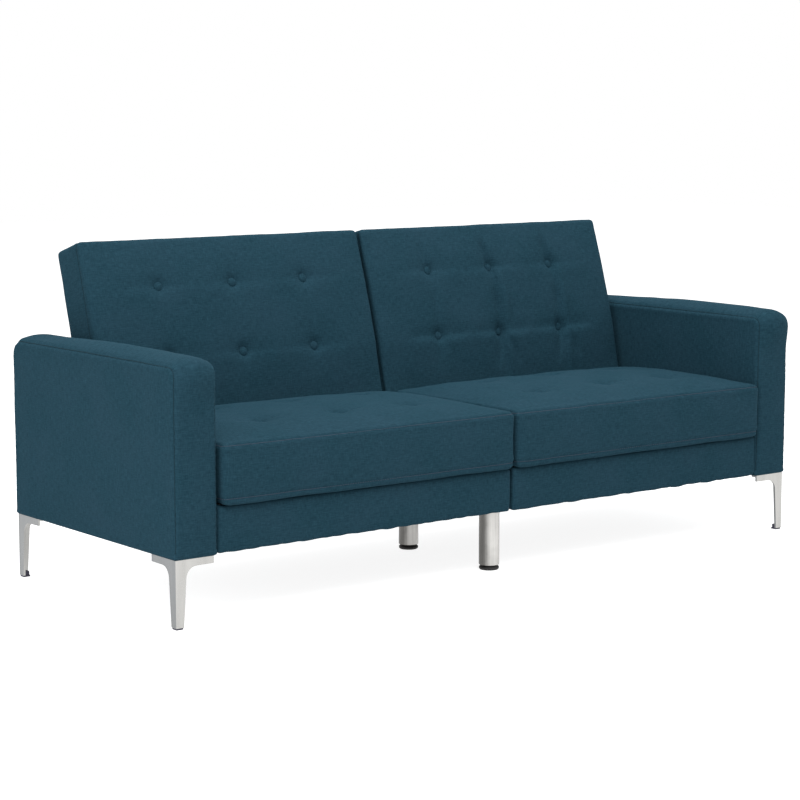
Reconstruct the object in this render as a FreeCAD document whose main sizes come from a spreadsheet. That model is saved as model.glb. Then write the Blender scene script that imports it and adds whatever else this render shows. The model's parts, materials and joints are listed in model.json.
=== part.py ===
"""Split-back futon sofa bed as a parametric assembly.

Frame: +X to the right of someone facing the sofa, +Y towards its rear, +Z up. The origin is on the floor,
under the middle of the overall width and depth. The left half (negative X) is built in full and mirrored to
the right. Each back is built in its own frame: the hinge axis is the origin, local +Z runs up the back and
local -Y is its face.
"""

import FreeCAD, Part

import math
import os

import Sketcher
from FreeCAD import Placement, Rotation, Vector

SIZES = (
    # overall
    ("overall_width", 1900, "outside of one arm to the outside of the other"),
    ("leg_height", 153, "floor to the underside of the arms"),
    ("joint_gap", 0.5, "gap between an arm and the base beside it"),
    ("soft_gap", 0.3, "running gap under a soft part"),
    # arms
    ("arm_width", 113, "thickness of an arm"),
    ("arm_depth", 716, "front to rear of an arm"),
    ("arm_height", 439, "underside to top of an arm"),
    ("arm_corner_radius", 32, "rounding of the arm's upper corners, seen from the side"),
    ("arm_side_padding", 8, "cover and wadding on the arm's two sides"),
    ("arm_top_padding", 45, "foam on top of the arm"),
    ("arm_end_padding", 15, "foam on the front and rear of the arm"),
    ("arm_board", 30, "thickness of the posts and rails inside the arm"),
    # base frame
    ("centre_gap", 3, "half of the gap between the two seats"),
    ("base_setback", 10, "front of the base behind the front of the seat cushion"),
    ("base_past_pivot", 57, "rear of the base behind the hinge axis"),
    ("base_rise", 5, "underside of the arms to the underside of the base cover"),
    ("base_height", 102, "underside of the base cover to the underside of the seat cushion"),
    ("cover_wall", 4, "fabric and wadding round the base frame"),
    ("lip_width", 20, "cover turned in over the rails, top and bottom"),
    ("rail_thickness", 25, "thickness of the base rails"),
    # seat cushion
    ("seat_depth", 488, "front to rear of the seat cushion"),
    ("cushion_thickness", 138, "height of the seat cushion"),
    ("cushion_radius", 18, "rounding of the seat cushion's edges"),
    ("cushion_side_gap", 4, "seat cushion to arm"),
    # back
    ("seat_to_pivot", 63, "rear of the seat cushion to the hinge axis"),
    ("surface_to_pivot", 50, "face of the back to the hinge axis"),
    ("back_recline", 16, "lean of the back from upright, in degrees"),
    ("back_above_pivot", 454, "hinge axis to the top of the back"),
    ("back_below_pivot", 30, "hinge axis to the lower end of the back"),
    ("back_thickness", 110, "face to rear of the back"),
    ("back_side_gap", 15, "back to arm"),
    ("back_centre_gap", 4, "half of the gap between the two backs"),
    ("back_edge_radius", 16, "rounding of the edges round the back's face"),
    ("back_foam", 60, "foam in front of the back frame"),
    ("back_end_wall", 6, "cover below and above the back frame"),
    ("back_lining", 2.5, "rear lining of the back"),
    ("stile_width", 25, "width of the back's upright boards"),
    ("back_rail_height", 40, "height of the back's cross boards"),
    # buttons
    ("button_radius", 11.5, "radius of a covered button"),
    ("button_height", 5, "height of a covered button"),
    ("button_sink", 3, "how far a button stands into its cushion"),
    ("back_button_pitch", 212, "between the buttons of a row on the back"),
    ("back_button_low", 165, "hinge axis to the lower row of buttons"),
    ("back_button_high", 338, "hinge axis to the upper row of buttons"),
    ("seat_button_pitch", 215, "between the buttons of a row on the seat"),
    ("seat_button_front", 150, "front of the cushion to the front row of buttons"),
    ("seat_button_rear", 365, "front of the cushion to the rear row of buttons"),
    # springs and straps
    ("spring_wire", 3.6, "diameter of the zigzag spring wire"),
    ("spring_half_width", 24, "half of the width of a zigzag spring"),
    ("spring_drop", 8, "top of the rails to the spring wire"),
    ("strap_width", 50, "width of a back strap"),
    ("strap_thickness", 2, "thickness of a back strap"),
    # corner legs
    ("leg_inset", 5, "corner leg behind the corner of the arm"),
    ("leg_flange", 98, "length of the leg's two upper flanges"),
    ("leg_flange_height", 16, "height of a flange"),
    ("leg_wall", 5, "thickness of the leg's walls"),
    ("leg_stem_top", 29, "width of the stem under the flange"),
    ("leg_stem_foot", 20, "width of the stem at the foot"),
    ("leg_throat", 26, "radius between flange and stem"),
    ("leg_edge", 1.2, "rounding of the leg's outside edges"),
    ("glide_height", 4, "height of the plastic glide"),
    ("glide_inset", 1.5, "outside of the leg to the glide"),
    ("glide_reach", 9, "length of the glide's plug inside the leg"),
    ("leg_screw_radius", 2.5, "shank radius of a leg screw"),
    ("leg_screw_head", 5, "head radius of a leg screw"),
    ("leg_screw_head_height", 2, "head height of a leg screw"),
    ("leg_screw_length", 22, "length of a leg screw"),
    ("leg_screw_hole", 0.1, "radial clearance of a leg screw in the timber"),
    ("leg_screw_near", 16, "wall of a corner leg to the screws near it"),
    ("leg_screw_far", 72, "corner of a leg to its far screws"),
    ("leg_plate_lip", 18, "width of a corner leg's top plate at its two tips"),
    # centre legs
    ("centre_leg_radius", 25, "outside radius of a centre leg"),
    ("centre_leg_wall", 2, "wall of a centre leg"),
    ("centre_leg_bottom", 13, "floor to the lower end of the tube"),
    ("centre_leg_cap", 6, "thickness of the threaded lower cap of the tube"),
    ("centre_leg_front", 96, "front of the cushion to the front centre leg"),
    ("centre_leg_rear", 415, "front of the cushion to the rear centre leg"),
    ("centre_plate_size", 110, "side of a centre leg's mounting plate"),
    ("centre_plate_thickness", 4, "thickness of a centre leg's mounting plate"),
    ("foot_radius", 25, "radius of a levelling foot"),
    ("foot_height", 9, "height of a levelling foot's pad"),
    ("foot_chamfer", 1.5, "chamfer round the foot's pad"),
    ("foot_collar_radius", 11, "radius of the nut above the pad"),
    ("foot_collar_height", 2.5, "height of the nut above the pad"),
    ("foot_stem_radius", 5, "radius of the foot's threaded stem"),
    ("foot_stem_length", 42, "length of the foot's threaded stem"),
    ("foot_stem_clearance", 0.1, "radial clearance of the stem in its cap"),
    # hinges
    ("plate_thickness", 3, "thickness of the hinge plates and pawls"),
    ("plate_gap", 0.5, "gap between the seat plate and the back plate"),
    ("hub_radius", 26, "radius of the ratchet hub"),
    ("notch_radius", 3.5, "radius of a ratchet notch"),
    ("seat_hub_radius", 20, "radius of the seat plate's upper end"),
    ("pivot_radius", 6, "radius of the hinge rivet"),
    ("pivot_clearance", 0.1, "radial clearance of the hinge rivet"),
    ("pivot_head_radius", 9, "head radius of the hinge rivet"),
    ("pivot_head_height", 2, "head height of the hinge rivet"),
    ("hinge_foot_reach", 100, "hinge axis to the front of the seat plate's foot"),
    ("hinge_foot_height", 46, "height of the seat plate's foot"),
    ("hinge_foot_drop", 8, "top of the rail to the seat plate's foot"),
    ("hinge_shoulder_front", 42, "hinge axis to the front edge of the seat plate's column"),
    ("hinge_shoulder_drop", 40, "hinge axis to the top of the column's full width"),
    ("hinge_neck", 24, "hinge axis to the seat plate's slanted edge, forwards and down"),
    ("hinge_arm_top", 205, "hinge axis to the upper end of the back plate's arm"),
    ("hinge_arm_bend", 70, "hinge axis to the bend in the back plate's arm"),
    ("hinge_arm_inset", 8, "front and rear of the stile to the back plate's arm"),
    ("pawl_pin_radius", 3, "radius of the pawl's rivet"),
    ("pawl_pin_front", 30.7, "hinge axis to the pawl's rivet, forwards"),
    ("pawl_pin_drop", 49.2, "hinge axis to the pawl's rivet, downwards"),
    ("pawl_boss_radius", 8, "radius of the pawl round its rivet"),
    ("pawl_gap", 0.8, "ratchet hub to the pawl's nose"),
    ("pawl_nose", 3, "width of the pawl's nose"),
    ("pawl_spring_foot", 5, "width of the pawl spring's foot"),
    ("pocket_depth", 10, "depth of the hinge pocket in the back's side padding"),
    ("pocket_gap", 4, "ratchet hub to the hinge pocket above and in front of it"),
    # fasteners
    ("bolt_radius", 4, "radius of an arm bolt"),
    ("bolt_clearance", 0.5, "radial clearance of a bolt in its holes"),
    ("bolt_head_radius", 9, "radius of an arm bolt's head"),
    ("bolt_head_height", 5, "height of an arm bolt's head"),
    ("bolt_drop", 45, "top of the base to the arm bolts"),
    ("bolt_margin", 16, "arm bolts to the timber or plate beside them"),
    ("join_bolt_front", 190, "front of the cushion to the front joining bolt"),
    ("join_bolt_rear", 350, "front of the cushion to the rear joining bolt"),
    ("dust_cover_thickness", 1.5, "cloth under the base"),
)

SPRINGS_PER_SEAT = 5
SPRING_LOOPS = 14
BACK_STRAPS = 4
BUTTONS_PER_ROW = 3
RATCHET_NOTCHES = 4
NOTCH_SPACING = 24  # degrees between ratchet notches
FIRST_NOTCH = 252  # degrees, direction of the first notch in the back's own frame

# Expressions that several pieces share. Distances along X are taken from the middle, and the left side
# negates them.
HALF_WIDTH = "Sizes.overall_width / 2"
ARM_INSIDE = f"({HALF_WIDTH} - Sizes.arm_width)"
BASE_OUTSIDE = f"({ARM_INSIDE} - Sizes.joint_gap)"
RAIL_OUTSIDE = f"({BASE_OUTSIDE} - Sizes.cover_wall)"
RAIL_INSIDE = "(Sizes.centre_gap + Sizes.cover_wall)"
SEAT_LINE = f"(({BASE_OUTSIDE} + Sizes.centre_gap) / 2)"
HINGE_FACE = f"({RAIL_OUTSIDE} - Sizes.rail_thickness)"
BACK_PLATE_FACE = f"({HINGE_FACE} - Sizes.plate_thickness - Sizes.plate_gap)"
STILE_OUTSIDE = f"({BACK_PLATE_FACE} - Sizes.plate_thickness)"
STILE_INSIDE = f"(2 * {SEAT_LINE} - {STILE_OUTSIDE})"
BACK_OUTSIDE = f"({ARM_INSIDE} - Sizes.back_side_gap)"
BACK_LINE = f"(({BACK_OUTSIDE} + Sizes.back_centre_gap) / 2)"
BACK_REACH = (
    "(sin(Sizes.back_recline * 1deg) * Sizes.back_above_pivot"
    " + cos(Sizes.back_recline * 1deg) * (Sizes.back_thickness - Sizes.surface_to_pivot))"
)
ARM_TOP = "(Sizes.leg_height + Sizes.arm_height)"
BASE_BOTTOM = "(Sizes.leg_height + Sizes.base_rise)"
CUSHION_BOTTOM = f"({BASE_BOTTOM} + Sizes.base_height)"
POCKET_REACH = "(Sizes.hub_radius + Sizes.pocket_gap)"
FRONT = f"(-(Sizes.seat_depth + Sizes.seat_to_pivot + {BACK_REACH}) / 2)"
PIVOT_Y = f"({FRONT} + Sizes.seat_depth + Sizes.seat_to_pivot)"
CUSHION_TOP = f"({CUSHION_BOTTOM} + Sizes.cushion_thickness)"
PIVOT_Z = f"({CUSHION_TOP} - Sizes.surface_to_pivot)"
BASE_FRONT = f"({FRONT} + Sizes.base_setback)"
BASE_REAR = f"({PIVOT_Y} + Sizes.base_past_pivot)"
BASE_TOP = f"({CUSHION_BOTTOM} - Sizes.soft_gap)"
RAIL_BOTTOM = f"({BASE_BOTTOM} + Sizes.cover_wall)"
RAIL_TOP = f"({BASE_TOP} - Sizes.cover_wall)"
RAIL_HEIGHT = f"({RAIL_TOP} - {RAIL_BOTTOM})"
SEAT_REAR = f"({FRONT} + Sizes.seat_depth)"
FRAME_FACE = "(Sizes.back_foam - Sizes.surface_to_pivot + Sizes.strap_thickness)"
BACK_REAR = "(Sizes.back_thickness - Sizes.surface_to_pivot)"
FRAME_DEPTH = f"({BACK_REAR} - Sizes.back_lining - {FRAME_FACE})"
FRAME_LOW = "(Sizes.back_end_wall - Sizes.back_below_pivot)"
FRAME_HIGH = "(Sizes.back_above_pivot - Sizes.back_end_wall)"
BOLT_Z = f"({BASE_TOP} - Sizes.bolt_drop)"
ARM_CORE_FRONT = "(-Sizes.arm_depth / 2 + Sizes.arm_end_padding)"

doc = FreeCAD.newDocument("SofaBed")
sheet = doc.addObject("Spreadsheet::Sheet", "Sizes")
for row, (alias, number, meaning) in enumerate(SIZES, start=1):
    sheet.set(f"A{row}", alias)
    sheet.set(f"B{row}", str(number))
    sheet.setAlias(f"B{row}", alias)
    sheet.set(f"C{row}", meaning)
doc.recompute()

made = {}


def size(expression):
    """The number that an expression on the sheet's sizes comes to."""
    return float(sheet.evalExpression(expression))


def bind(item, **expressions):
    """Ties properties of an object to expressions; x, y and z are its place."""
    for prop, text in expressions.items():
        path = f"Placement.Base.{prop}" if prop in ("x", "y", "z") else prop
        item.setExpression(path, str(text))
    return item


def box(name, low, lengths):
    """A box from its low corner and its three lengths."""
    item = doc.addObject("Part::Box", name)
    bind(item, x=low[0], y=low[1], z=low[2])
    return bind(item, Length=lengths[0], Width=lengths[1], Height=lengths[2])


AXES = {"x": Rotation(Vector(0, 1, 0), 90), "y": Rotation(Vector(1, 0, 0), -90), "z": Rotation()}


def rod(name, place, radius, length, axis="z"):
    """A cylinder from the centre of its first end, along +X, +Y or +Z."""
    item = doc.addObject("Part::Cylinder", name)
    item.Placement = Placement(Vector(), AXES[axis])
    bind(item, x=place[0], y=place[1], z=place[2])
    return bind(item, Radius=radius, Height=length)


def fuse(name, *items):
    """One solid out of several that touch."""
    item = doc.addObject("Part::MultiFuse", name)
    item.Shapes = list(items)
    item.Refine = True
    return item


def group(name, *items):
    """Several separate solids that share one node."""
    item = doc.addObject("Part::Compound", name)
    item.Links = list(items)
    return item


def cut(name, base, *tools):
    """base less every tool."""
    item = doc.addObject("Part::Cut", name)
    item.Base = base
    item.Tool = tools[0] if len(tools) == 1 else group(name + "Tools", *tools)
    return item


def mirror(name, source, across="x", at="0"):
    """source mirrored across the plane where one coordinate is fixed."""
    item = doc.addObject("Part::Mirroring", name)
    item.Source = source
    item.Normal = Vector(*(1.0 if letter == across else 0.0 for letter in "xyz"))
    item.setExpression(f"Base.{across}", at)
    return item


def node(label, item):
    """Names an object as one of the sofa bed's sub-parts."""
    item.Label = label
    made[label] = item
    return item


def both_sides(name, item):
    """The left piece and its mirror image on the right."""
    node("left_" + name, item)
    return node("right_" + name, mirror(item.Name + "Right", item))


def new_body(name):
    """An empty PartDesign body."""
    return doc.addObject("PartDesign::Body", name)


def outline(body, name, role, corners, lift="0"):
    """A closed polygon on one of a body's origin planes, each corner held by its distances."""
    sketch = body.newObject("Sketcher::SketchObject", name)
    plane = next(feature for feature in body.Origin.OriginFeatures if feature.Role == role)
    sketch.AttachmentSupport = [(plane, "")]
    sketch.MapMode = "FlatFace"
    sketch.setExpression("AttachmentOffset.Base.z", lift)
    angles = [2 * math.pi * n / len(corners) + 0.3 for n in range(len(corners))]
    start = [Vector(math.cos(angle), math.sin(angle), 0) * 100 for angle in angles]
    for n, point in enumerate(start):
        sketch.addGeometry(Part.LineSegment(point, start[(n + 1) % len(corners)]), False)
    for n in range(len(corners)):
        sketch.addConstraint(Sketcher.Constraint("Coincident", n, 2, (n + 1) % len(corners), 1))
    for n, corner in enumerate(corners):
        for kind, place, value, axis in (
            ("DistanceX", corner[0], start[n].x, -2),
            ("DistanceY", corner[1], start[n].y, -1),
        ):
            if str(place) == "0":
                sketch.addConstraint(Sketcher.Constraint("PointOnObject", n, 1, axis))
            else:
                which = sketch.addConstraint(Sketcher.Constraint(kind, -1, 1, n, 1, value))
                sketch.setExpression(f"Constraints[{which}]", str(place))
    return sketch


def pad(body, sketch, length, reverse=False):
    """Pads a sketch by a length, along its normal or against it."""
    feature = body.newObject("PartDesign::Pad", sketch.Name + "Pad")
    feature.Profile = sketch
    feature.Reversed = reverse
    feature.setExpression("Length", length)
    doc.recompute()
    return feature


def round_edges(body, base, name, radius, wanted):
    """Fillets the edges of base for which wanted(edge) is true."""
    names = [f"Edge{n}" for n, edge in enumerate(base.Shape.Edges, start=1) if wanted(edge)]
    feature = body.newObject("PartDesign::Fillet", name)
    feature.Base = (base, names)
    feature.setExpression("Radius", radius)
    body.Tip = feature
    doc.recompute()
    return feature


def runs_along(edge, axis):
    """True if a straight edge is parallel to one axis."""
    ends = [vertex.Point for vertex in edge.Vertexes]
    if len(ends) != 2:
        return False
    along = ends[1] - ends[0]
    return abs(getattr(along, axis)) > 0.999 * along.Length


def on_pivot(item):
    """Sets a piece built round the hinge axis, but fixed to the seat, in its place."""
    return bind(group(item.Name + "OnPivot", item), y=PIVOT_Y, z=PIVOT_Z)


def lean(item):
    """Sets a piece built in the back's own frame on the hinge axis, at the back's lean."""
    leaning = on_pivot(item)
    leaning.Placement = Placement(Vector(), Rotation(Vector(-1, 0, 0), 1))
    leaning.setExpression("Placement.Rotation.Angle", "Sizes.back_recline")
    return leaning


def both_ends(name, outer):
    """The outer hinge's piece and its mirror image at the inner hinge, on both sides of the sofa."""
    both_sides("outer_" + name, outer)
    both_sides("inner_" + name, mirror(outer.Name + "Inner", outer, at=f"-{SEAT_LINE}"))


# ---------------------------------------------------------------- arms


def bolt_places():
    """Where the arm bolts lie along Y: behind the base's front rail, before the hinge and half way."""
    front = f"({BASE_FRONT} + Sizes.cover_wall + Sizes.rail_thickness + Sizes.bolt_margin)"
    middle = f"({PIVOT_Y} - Sizes.hinge_foot_reach - Sizes.bolt_margin)"
    return front, f"(({front} + {middle}) / 2)", middle


def bolt_holes(name):
    """Clearance holes for the arm bolts, from the arm's core to inside the base."""
    return [
        rod(
            f"{name}{n}",
            (f"-({HALF_WIDTH})", place, BOLT_Z),
            "Sizes.bolt_radius + Sizes.bolt_clearance",
            f"{HALF_WIDTH} - {HINGE_FACE} + Sizes.bolt_head_radius",
            "x",
        )
        for n, place in enumerate(bolt_places())
    ]


def arm_cover():
    """The upholstered shell of an arm: a padded box with rounded upper corners, open underneath."""
    body = new_body("ArmCover")
    front, rear = "-Sizes.arm_depth / 2", "Sizes.arm_depth / 2"
    low = "Sizes.leg_height"
    corners = [(front, low), (rear, low), (rear, ARM_TOP), (front, ARM_TOP)]
    profile = outline(body, "ArmProfile", "YZ_Plane", corners, f"-({HALF_WIDTH})")
    solid = pad(body, profile, "Sizes.arm_width")
    top = size(ARM_TOP) - 1
    upper = lambda edge: runs_along(edge, "x") and edge.CenterOfMass.z > top
    round_edges(body, solid, "ArmCorners", "Sizes.arm_corner_radius", upper)
    core = box(
        "ArmCore",
        (f"-({HALF_WIDTH}) + Sizes.arm_side_padding", ARM_CORE_FRONT, "Sizes.leg_height - 1"),
        (
            "Sizes.arm_width - 2 * Sizes.arm_side_padding",
            "Sizes.arm_depth - 2 * Sizes.arm_end_padding",
            "Sizes.arm_height - Sizes.arm_top_padding + 1",
        ),
    )
    bolts = [
        rod(
            f"ArmWallHole{n}",
            (f"-({ARM_INSIDE}) - Sizes.arm_side_padding - 1", place, BOLT_Z),
            "Sizes.bolt_radius + Sizes.bolt_clearance",
            "Sizes.arm_side_padding + 2",
            "x",
        )
        for n, place in enumerate(bolt_places())
    ]
    return cut("ArmShell", body, core, *bolts)


def arm_frame():
    """The timber inside an arm: three posts, a bolt rail, and the top and bottom boards."""
    wide = "Sizes.arm_width - 2 * Sizes.arm_side_padding"
    left = f"-({HALF_WIDTH}) + Sizes.arm_side_padding"
    long = "Sizes.arm_depth - 2 * Sizes.arm_end_padding"
    top = f"({ARM_TOP} - Sizes.arm_top_padding)"
    low = "(Sizes.leg_height + Sizes.arm_board)"
    middle_bolt = bolt_places()[-1]
    board = "Sizes.arm_board"
    post = f"{top} - {low} - {board}"
    half = f"{board} / 2"
    rail_start = f"({ARM_CORE_FRONT} + {board})"
    pieces = [
        box("ArmBottomBoard", (left, ARM_CORE_FRONT, "Sizes.leg_height"), (wide, long, board)),
        box("ArmTopBoard", (left, ARM_CORE_FRONT, f"{top} - {board}"), (wide, long, board)),
        box("ArmRearPost", (left, f"-{ARM_CORE_FRONT} - {board}", low), (wide, board, post)),
        box("ArmFrontPost", (left, ARM_CORE_FRONT, low), (wide, board, post)),
        box("ArmMiddlePost", (left, f"{middle_bolt} - {half}", low), (wide, board, post)),
        box(
            "ArmBoltRail",
            (left, rail_start, low),
            (wide, f"{middle_bolt} - {half} - {rail_start}", f"{BOLT_Z} - {low} + {board}"),
        ),
    ]
    screws = leg_screw_shanks("ArmScrewHole", "Sizes.leg_screw_radius + Sizes.leg_screw_hole", board)
    rear_screws = [mirror(f"ArmRearScrewHole{n}", item, "y") for n, item in enumerate(screws)]
    return cut("ArmTimber", group("ArmBoards", *pieces), *bolt_holes("ArmTimberHole"), *screws, *rear_screws)


def arm_bolts():
    """Bolts from inside the base, through its outer rail, into the arm's timber."""
    shank_end = f"-({HALF_WIDTH}) + Sizes.arm_side_padding + Sizes.arm_board"
    head_radius, head_height = "Sizes.bolt_head_radius", "Sizes.bolt_head_height"
    bolts = []
    for n, place in enumerate(bolt_places()):
        grip = f"-{HINGE_FACE} - ({shank_end})"
        shank = rod(f"BoltShank{n}", (shank_end, place, BOLT_Z), "Sizes.bolt_radius", grip, "x")
        head = rod(f"BoltHead{n}", (f"-{HINGE_FACE}", place, BOLT_Z), head_radius, head_height, "x")
        bolts.append(fuse(f"Bolt{n}", shank, head))
    return group("ArmBolts", *bolts)


# ---------------------------------------------------------------- base


def base_box(name, inset, bottom, height):
    """A box over the whole of one base frame, inset from the outside of its cover."""
    return box(
        name,
        (f"-({BASE_OUTSIDE}) + {inset}", f"{BASE_FRONT} + {inset}", bottom),
        (
            f"{BASE_OUTSIDE} - Sizes.centre_gap - 2 * ({inset})",
            f"{BASE_REAR} - {BASE_FRONT} - 2 * ({inset})",
            height,
        ),
    )


def join_places():
    """Where the joining bolts lie along Y."""
    return [f"{FRONT} + {place}" for place in ("Sizes.join_bolt_front", "Sizes.join_bolt_rear")]


def join_holes(name):
    """Clearance holes for the joining bolts through the inner side of one base frame."""
    start = f"-({RAIL_INSIDE}) - Sizes.rail_thickness - 1"
    return [
        rod(
            f"{name}{n}",
            (start, place, BOLT_Z),
            "Sizes.bolt_radius + Sizes.bolt_clearance",
            "Sizes.rail_thickness + Sizes.cover_wall + 2",
            "x",
        )
        for n, place in enumerate(join_places())
    ]


def base_cover():
    """The fabric round one base frame, turned in over the rails at the top and the bottom."""
    whole = base_box("CoverOutside", "0", BASE_BOTTOM, f"{BASE_TOP} - {BASE_BOTTOM}")
    rails = base_box("CoverInside", "Sizes.cover_wall", RAIL_BOTTOM, RAIL_HEIGHT)
    lips = base_box("CoverOpening", "Sizes.cover_wall + Sizes.lip_width", "0", f"2 * ({BASE_TOP})")
    holes = [
        rod(
            f"CoverHole{n}",
            (f"-({BASE_OUTSIDE}) - 1", place, BOLT_Z),
            "Sizes.bolt_radius + Sizes.bolt_clearance",
            "Sizes.cover_wall + 2",
            "x",
        )
        for n, place in enumerate(bolt_places())
    ]
    return cut("BaseCover", whole, rails, lips, *holes, *join_holes("CoverJoinHole"))


def base_side_rails():
    """The outer and inner side rails of one base frame, the outer one drilled for the arm bolts."""
    start = f"{BASE_FRONT} + Sizes.cover_wall"
    long = f"{BASE_REAR} - {BASE_FRONT} - 2 * Sizes.cover_wall"
    lengths = ("Sizes.rail_thickness", long, RAIL_HEIGHT)
    outer = box("OuterRail", (f"-({RAIL_OUTSIDE})", start, RAIL_BOTTOM), lengths)
    inner = box("InnerRail", (f"-({RAIL_INSIDE}) - Sizes.rail_thickness", start, RAIL_BOTTOM), lengths)
    return group(
        "SideRails",
        cut("OuterRailDrilled", outer, *bolt_holes("RailHole")),
        cut("InnerRailDrilled", inner, *join_holes("RailJoinHole")),
    )


def base_cross_rails():
    """The front and rear rails between the side rails."""
    left = f"-({RAIL_OUTSIDE}) + Sizes.rail_thickness"
    wide = f"{RAIL_OUTSIDE} - {RAIL_INSIDE} - 2 * Sizes.rail_thickness"
    lengths = (wide, "Sizes.rail_thickness", RAIL_HEIGHT)
    front = box("FrontRail", (left, f"{BASE_FRONT} + Sizes.cover_wall", RAIL_BOTTOM), lengths)
    rear_face = f"{BASE_REAR} - Sizes.cover_wall - Sizes.rail_thickness"
    rear = box("RearRail", (left, rear_face, RAIL_BOTTOM), lengths)
    return group("CrossRails", front, rear)


def arc(start, middle, end):
    """The edge of an arc through three (x, y) points."""
    return Part.Arc(*(Vector(x, y, 0) for x, y in (start, middle, end))).toShape()


def line(start, end):
    """The edge of a straight run between two (x, y) points."""
    return Part.LineSegment(*(Vector(x, y, 0) for x, y in (start, end))).toShape()


def zigzag(length, half_width, loops, wire_radius):
    """A zigzag spring along +Y from the origin: straight runs across, joined by half turns.

    A quarter turn at each end leads into a short straight tail.
    """
    turn = length / (loops + 2) / 2
    tail = (length - 2 * turn * (loops + 1)) / 2
    run = half_width - turn
    sag = (1 - math.sqrt(0.5)) * turn
    edges = [line((0, 0), (0, tail)), arc((0, tail), (sag, tail + turn - sag), (turn, tail + turn))]
    x, y, side = turn, tail + turn, 1
    for _ in range(loops):
        far = side * run
        edges.append(line((x, y), (far, y)))
        edges.append(arc((far, y), (far + side * turn, y + turn), (far, y + 2 * turn)))
        x, y, side = far, y + 2 * turn, -side
    last = -side * turn
    edges.append(line((x, y), (last, y)))
    edges.append(arc((last, y), (-side * sag, y + sag), (0, y + turn)))
    edges.append(line((0, y + turn), (0, length)))
    ring = Part.Wire([Part.makeCircle(wire_radius, Vector(0, 0, 0), Vector(0, 1, 0))])
    return Part.Wire(edges).makePipeShell([ring], True, False)


def seat_springs():
    """Zigzag springs from the front rail to the rear rail of one base frame."""
    front = size(BASE_FRONT) + size("Sizes.cover_wall") + size("Sizes.rail_thickness")
    rear = size(BASE_REAR) - size("Sizes.cover_wall") - size("Sizes.rail_thickness")
    half_width, wire_radius = size("Sizes.spring_half_width"), size("Sizes.spring_wire") / 2
    spring = zigzag(rear - front, half_width, SPRING_LOOPS, wire_radius)
    left = -size(HINGE_FACE)
    right = -size(RAIL_INSIDE) - size("Sizes.rail_thickness")
    pitch = (right - left) / SPRINGS_PER_SEAT
    height = size(RAIL_TOP) - size("Sizes.spring_drop")
    item = doc.addObject("Part::Feature", "SeatSprings")
    item.Shape = Part.makeCompound(
        [
            spring.translated(Vector(left + pitch * (n + 0.5), front, height))
            for n in range(SPRINGS_PER_SEAT)
        ]
    )
    return item


def dust_cover():
    """The thin cloth under one base frame, on the cover's lower lip, cut out round the centre plates."""
    edge = "(Sizes.cover_wall + Sizes.lip_width / 2)"
    thickness = "Sizes.dust_cover_thickness"
    cloth = box(
        "DustCloth",
        (f"-({BASE_OUTSIDE}) + {edge}", f"{BASE_FRONT} + {edge}", f"{BASE_BOTTOM} - {thickness}"),
        (
            f"{BASE_OUTSIDE} - Sizes.centre_gap - 2 * {edge}",
            f"{BASE_REAR} - {BASE_FRONT} - 2 * {edge}",
            thickness,
        ),
    )
    side = "(Sizes.centre_plate_size + 2 * Sizes.joint_gap)"
    cutouts = [
        box(
            f"DustCutout{n}",
            (f"-{side} / 2", f"{place} - {side} / 2", f"{BASE_BOTTOM} - 2 * {thickness}"),
            (side, side, f"3 * {thickness}"),
        )
        for n, place in enumerate(centre_leg_places())
    ]
    return cut("DustCover", cloth, *cutouts)


def cushion_block(name, low, lengths, radius):
    """A padded block with every edge rounded."""
    body = new_body(name)
    right, rear = f"{low[0]} + {lengths[0]}", f"{low[1]} + {lengths[1]}"
    corners = [(low[0], low[1]), (right, low[1]), (right, rear), (low[0], rear)]
    plan = outline(body, name + "Plan", "XY_Plane", corners, low[2])
    solid = pad(body, plan, lengths[2])
    round_edges(body, solid, name + "Edges", radius, lambda edge: True)
    return body


def seat_cushion():
    """One seat cushion, with shallow seats for its buttons."""
    low = (f"-({ARM_INSIDE}) + Sizes.cushion_side_gap", FRONT, CUSHION_BOTTOM)
    wide = f"{ARM_INSIDE} - Sizes.cushion_side_gap - Sizes.centre_gap"
    lengths = (wide, "Sizes.seat_depth", "Sizes.cushion_thickness")
    body = cushion_block("SeatBlock", low, lengths, "Sizes.cushion_radius")
    return cut("SeatCushion", body, *buttons("SeatSeat", seat_button_places(), "z", "Sizes.soft_gap"))


def button_columns(line, pitch):
    """The places of one row of buttons along X, either side of a cushion's middle line."""
    offsets = [n - (BUTTONS_PER_ROW - 1) / 2 for n in range(BUTTONS_PER_ROW)]
    return [f"-({line}) + {offset} * {pitch}" for offset in offsets]


def seat_button_places():
    """Centres of the seat buttons, on the cushion's top."""
    rows = ("Sizes.seat_button_front", "Sizes.seat_button_rear")
    columns = button_columns(SEAT_LINE, "Sizes.seat_button_pitch")
    return [(x, f"{FRONT} + {row}", CUSHION_TOP) for row in rows for x in columns]


def back_button_places():
    """Centres of the back buttons, on the back's face, in the back's own frame."""
    rows = ("Sizes.back_button_low", "Sizes.back_button_high")
    columns = button_columns(BACK_LINE, "Sizes.back_button_pitch")
    return [(x, "-Sizes.surface_to_pivot", row) for row in rows for x in columns]


def buttons(name, places, axis, spare="0"):
    """Round buttons that stand out of a face at +Z or -Y; spare widens and deepens them into their seats."""
    items = []
    for n, (x, y, z) in enumerate(places):
        if axis == "z":
            z = f"{z} - Sizes.button_sink - {spare}"
        else:
            y = f"{y} - Sizes.button_height + Sizes.button_sink"
        radius, height = f"Sizes.button_radius + {spare}", f"Sizes.button_height + {spare}"
        items.append(rod(f"{name}{n}", (x, y, z), radius, height, axis))
    return items


# ---------------------------------------------------------------- back, in its own frame


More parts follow.
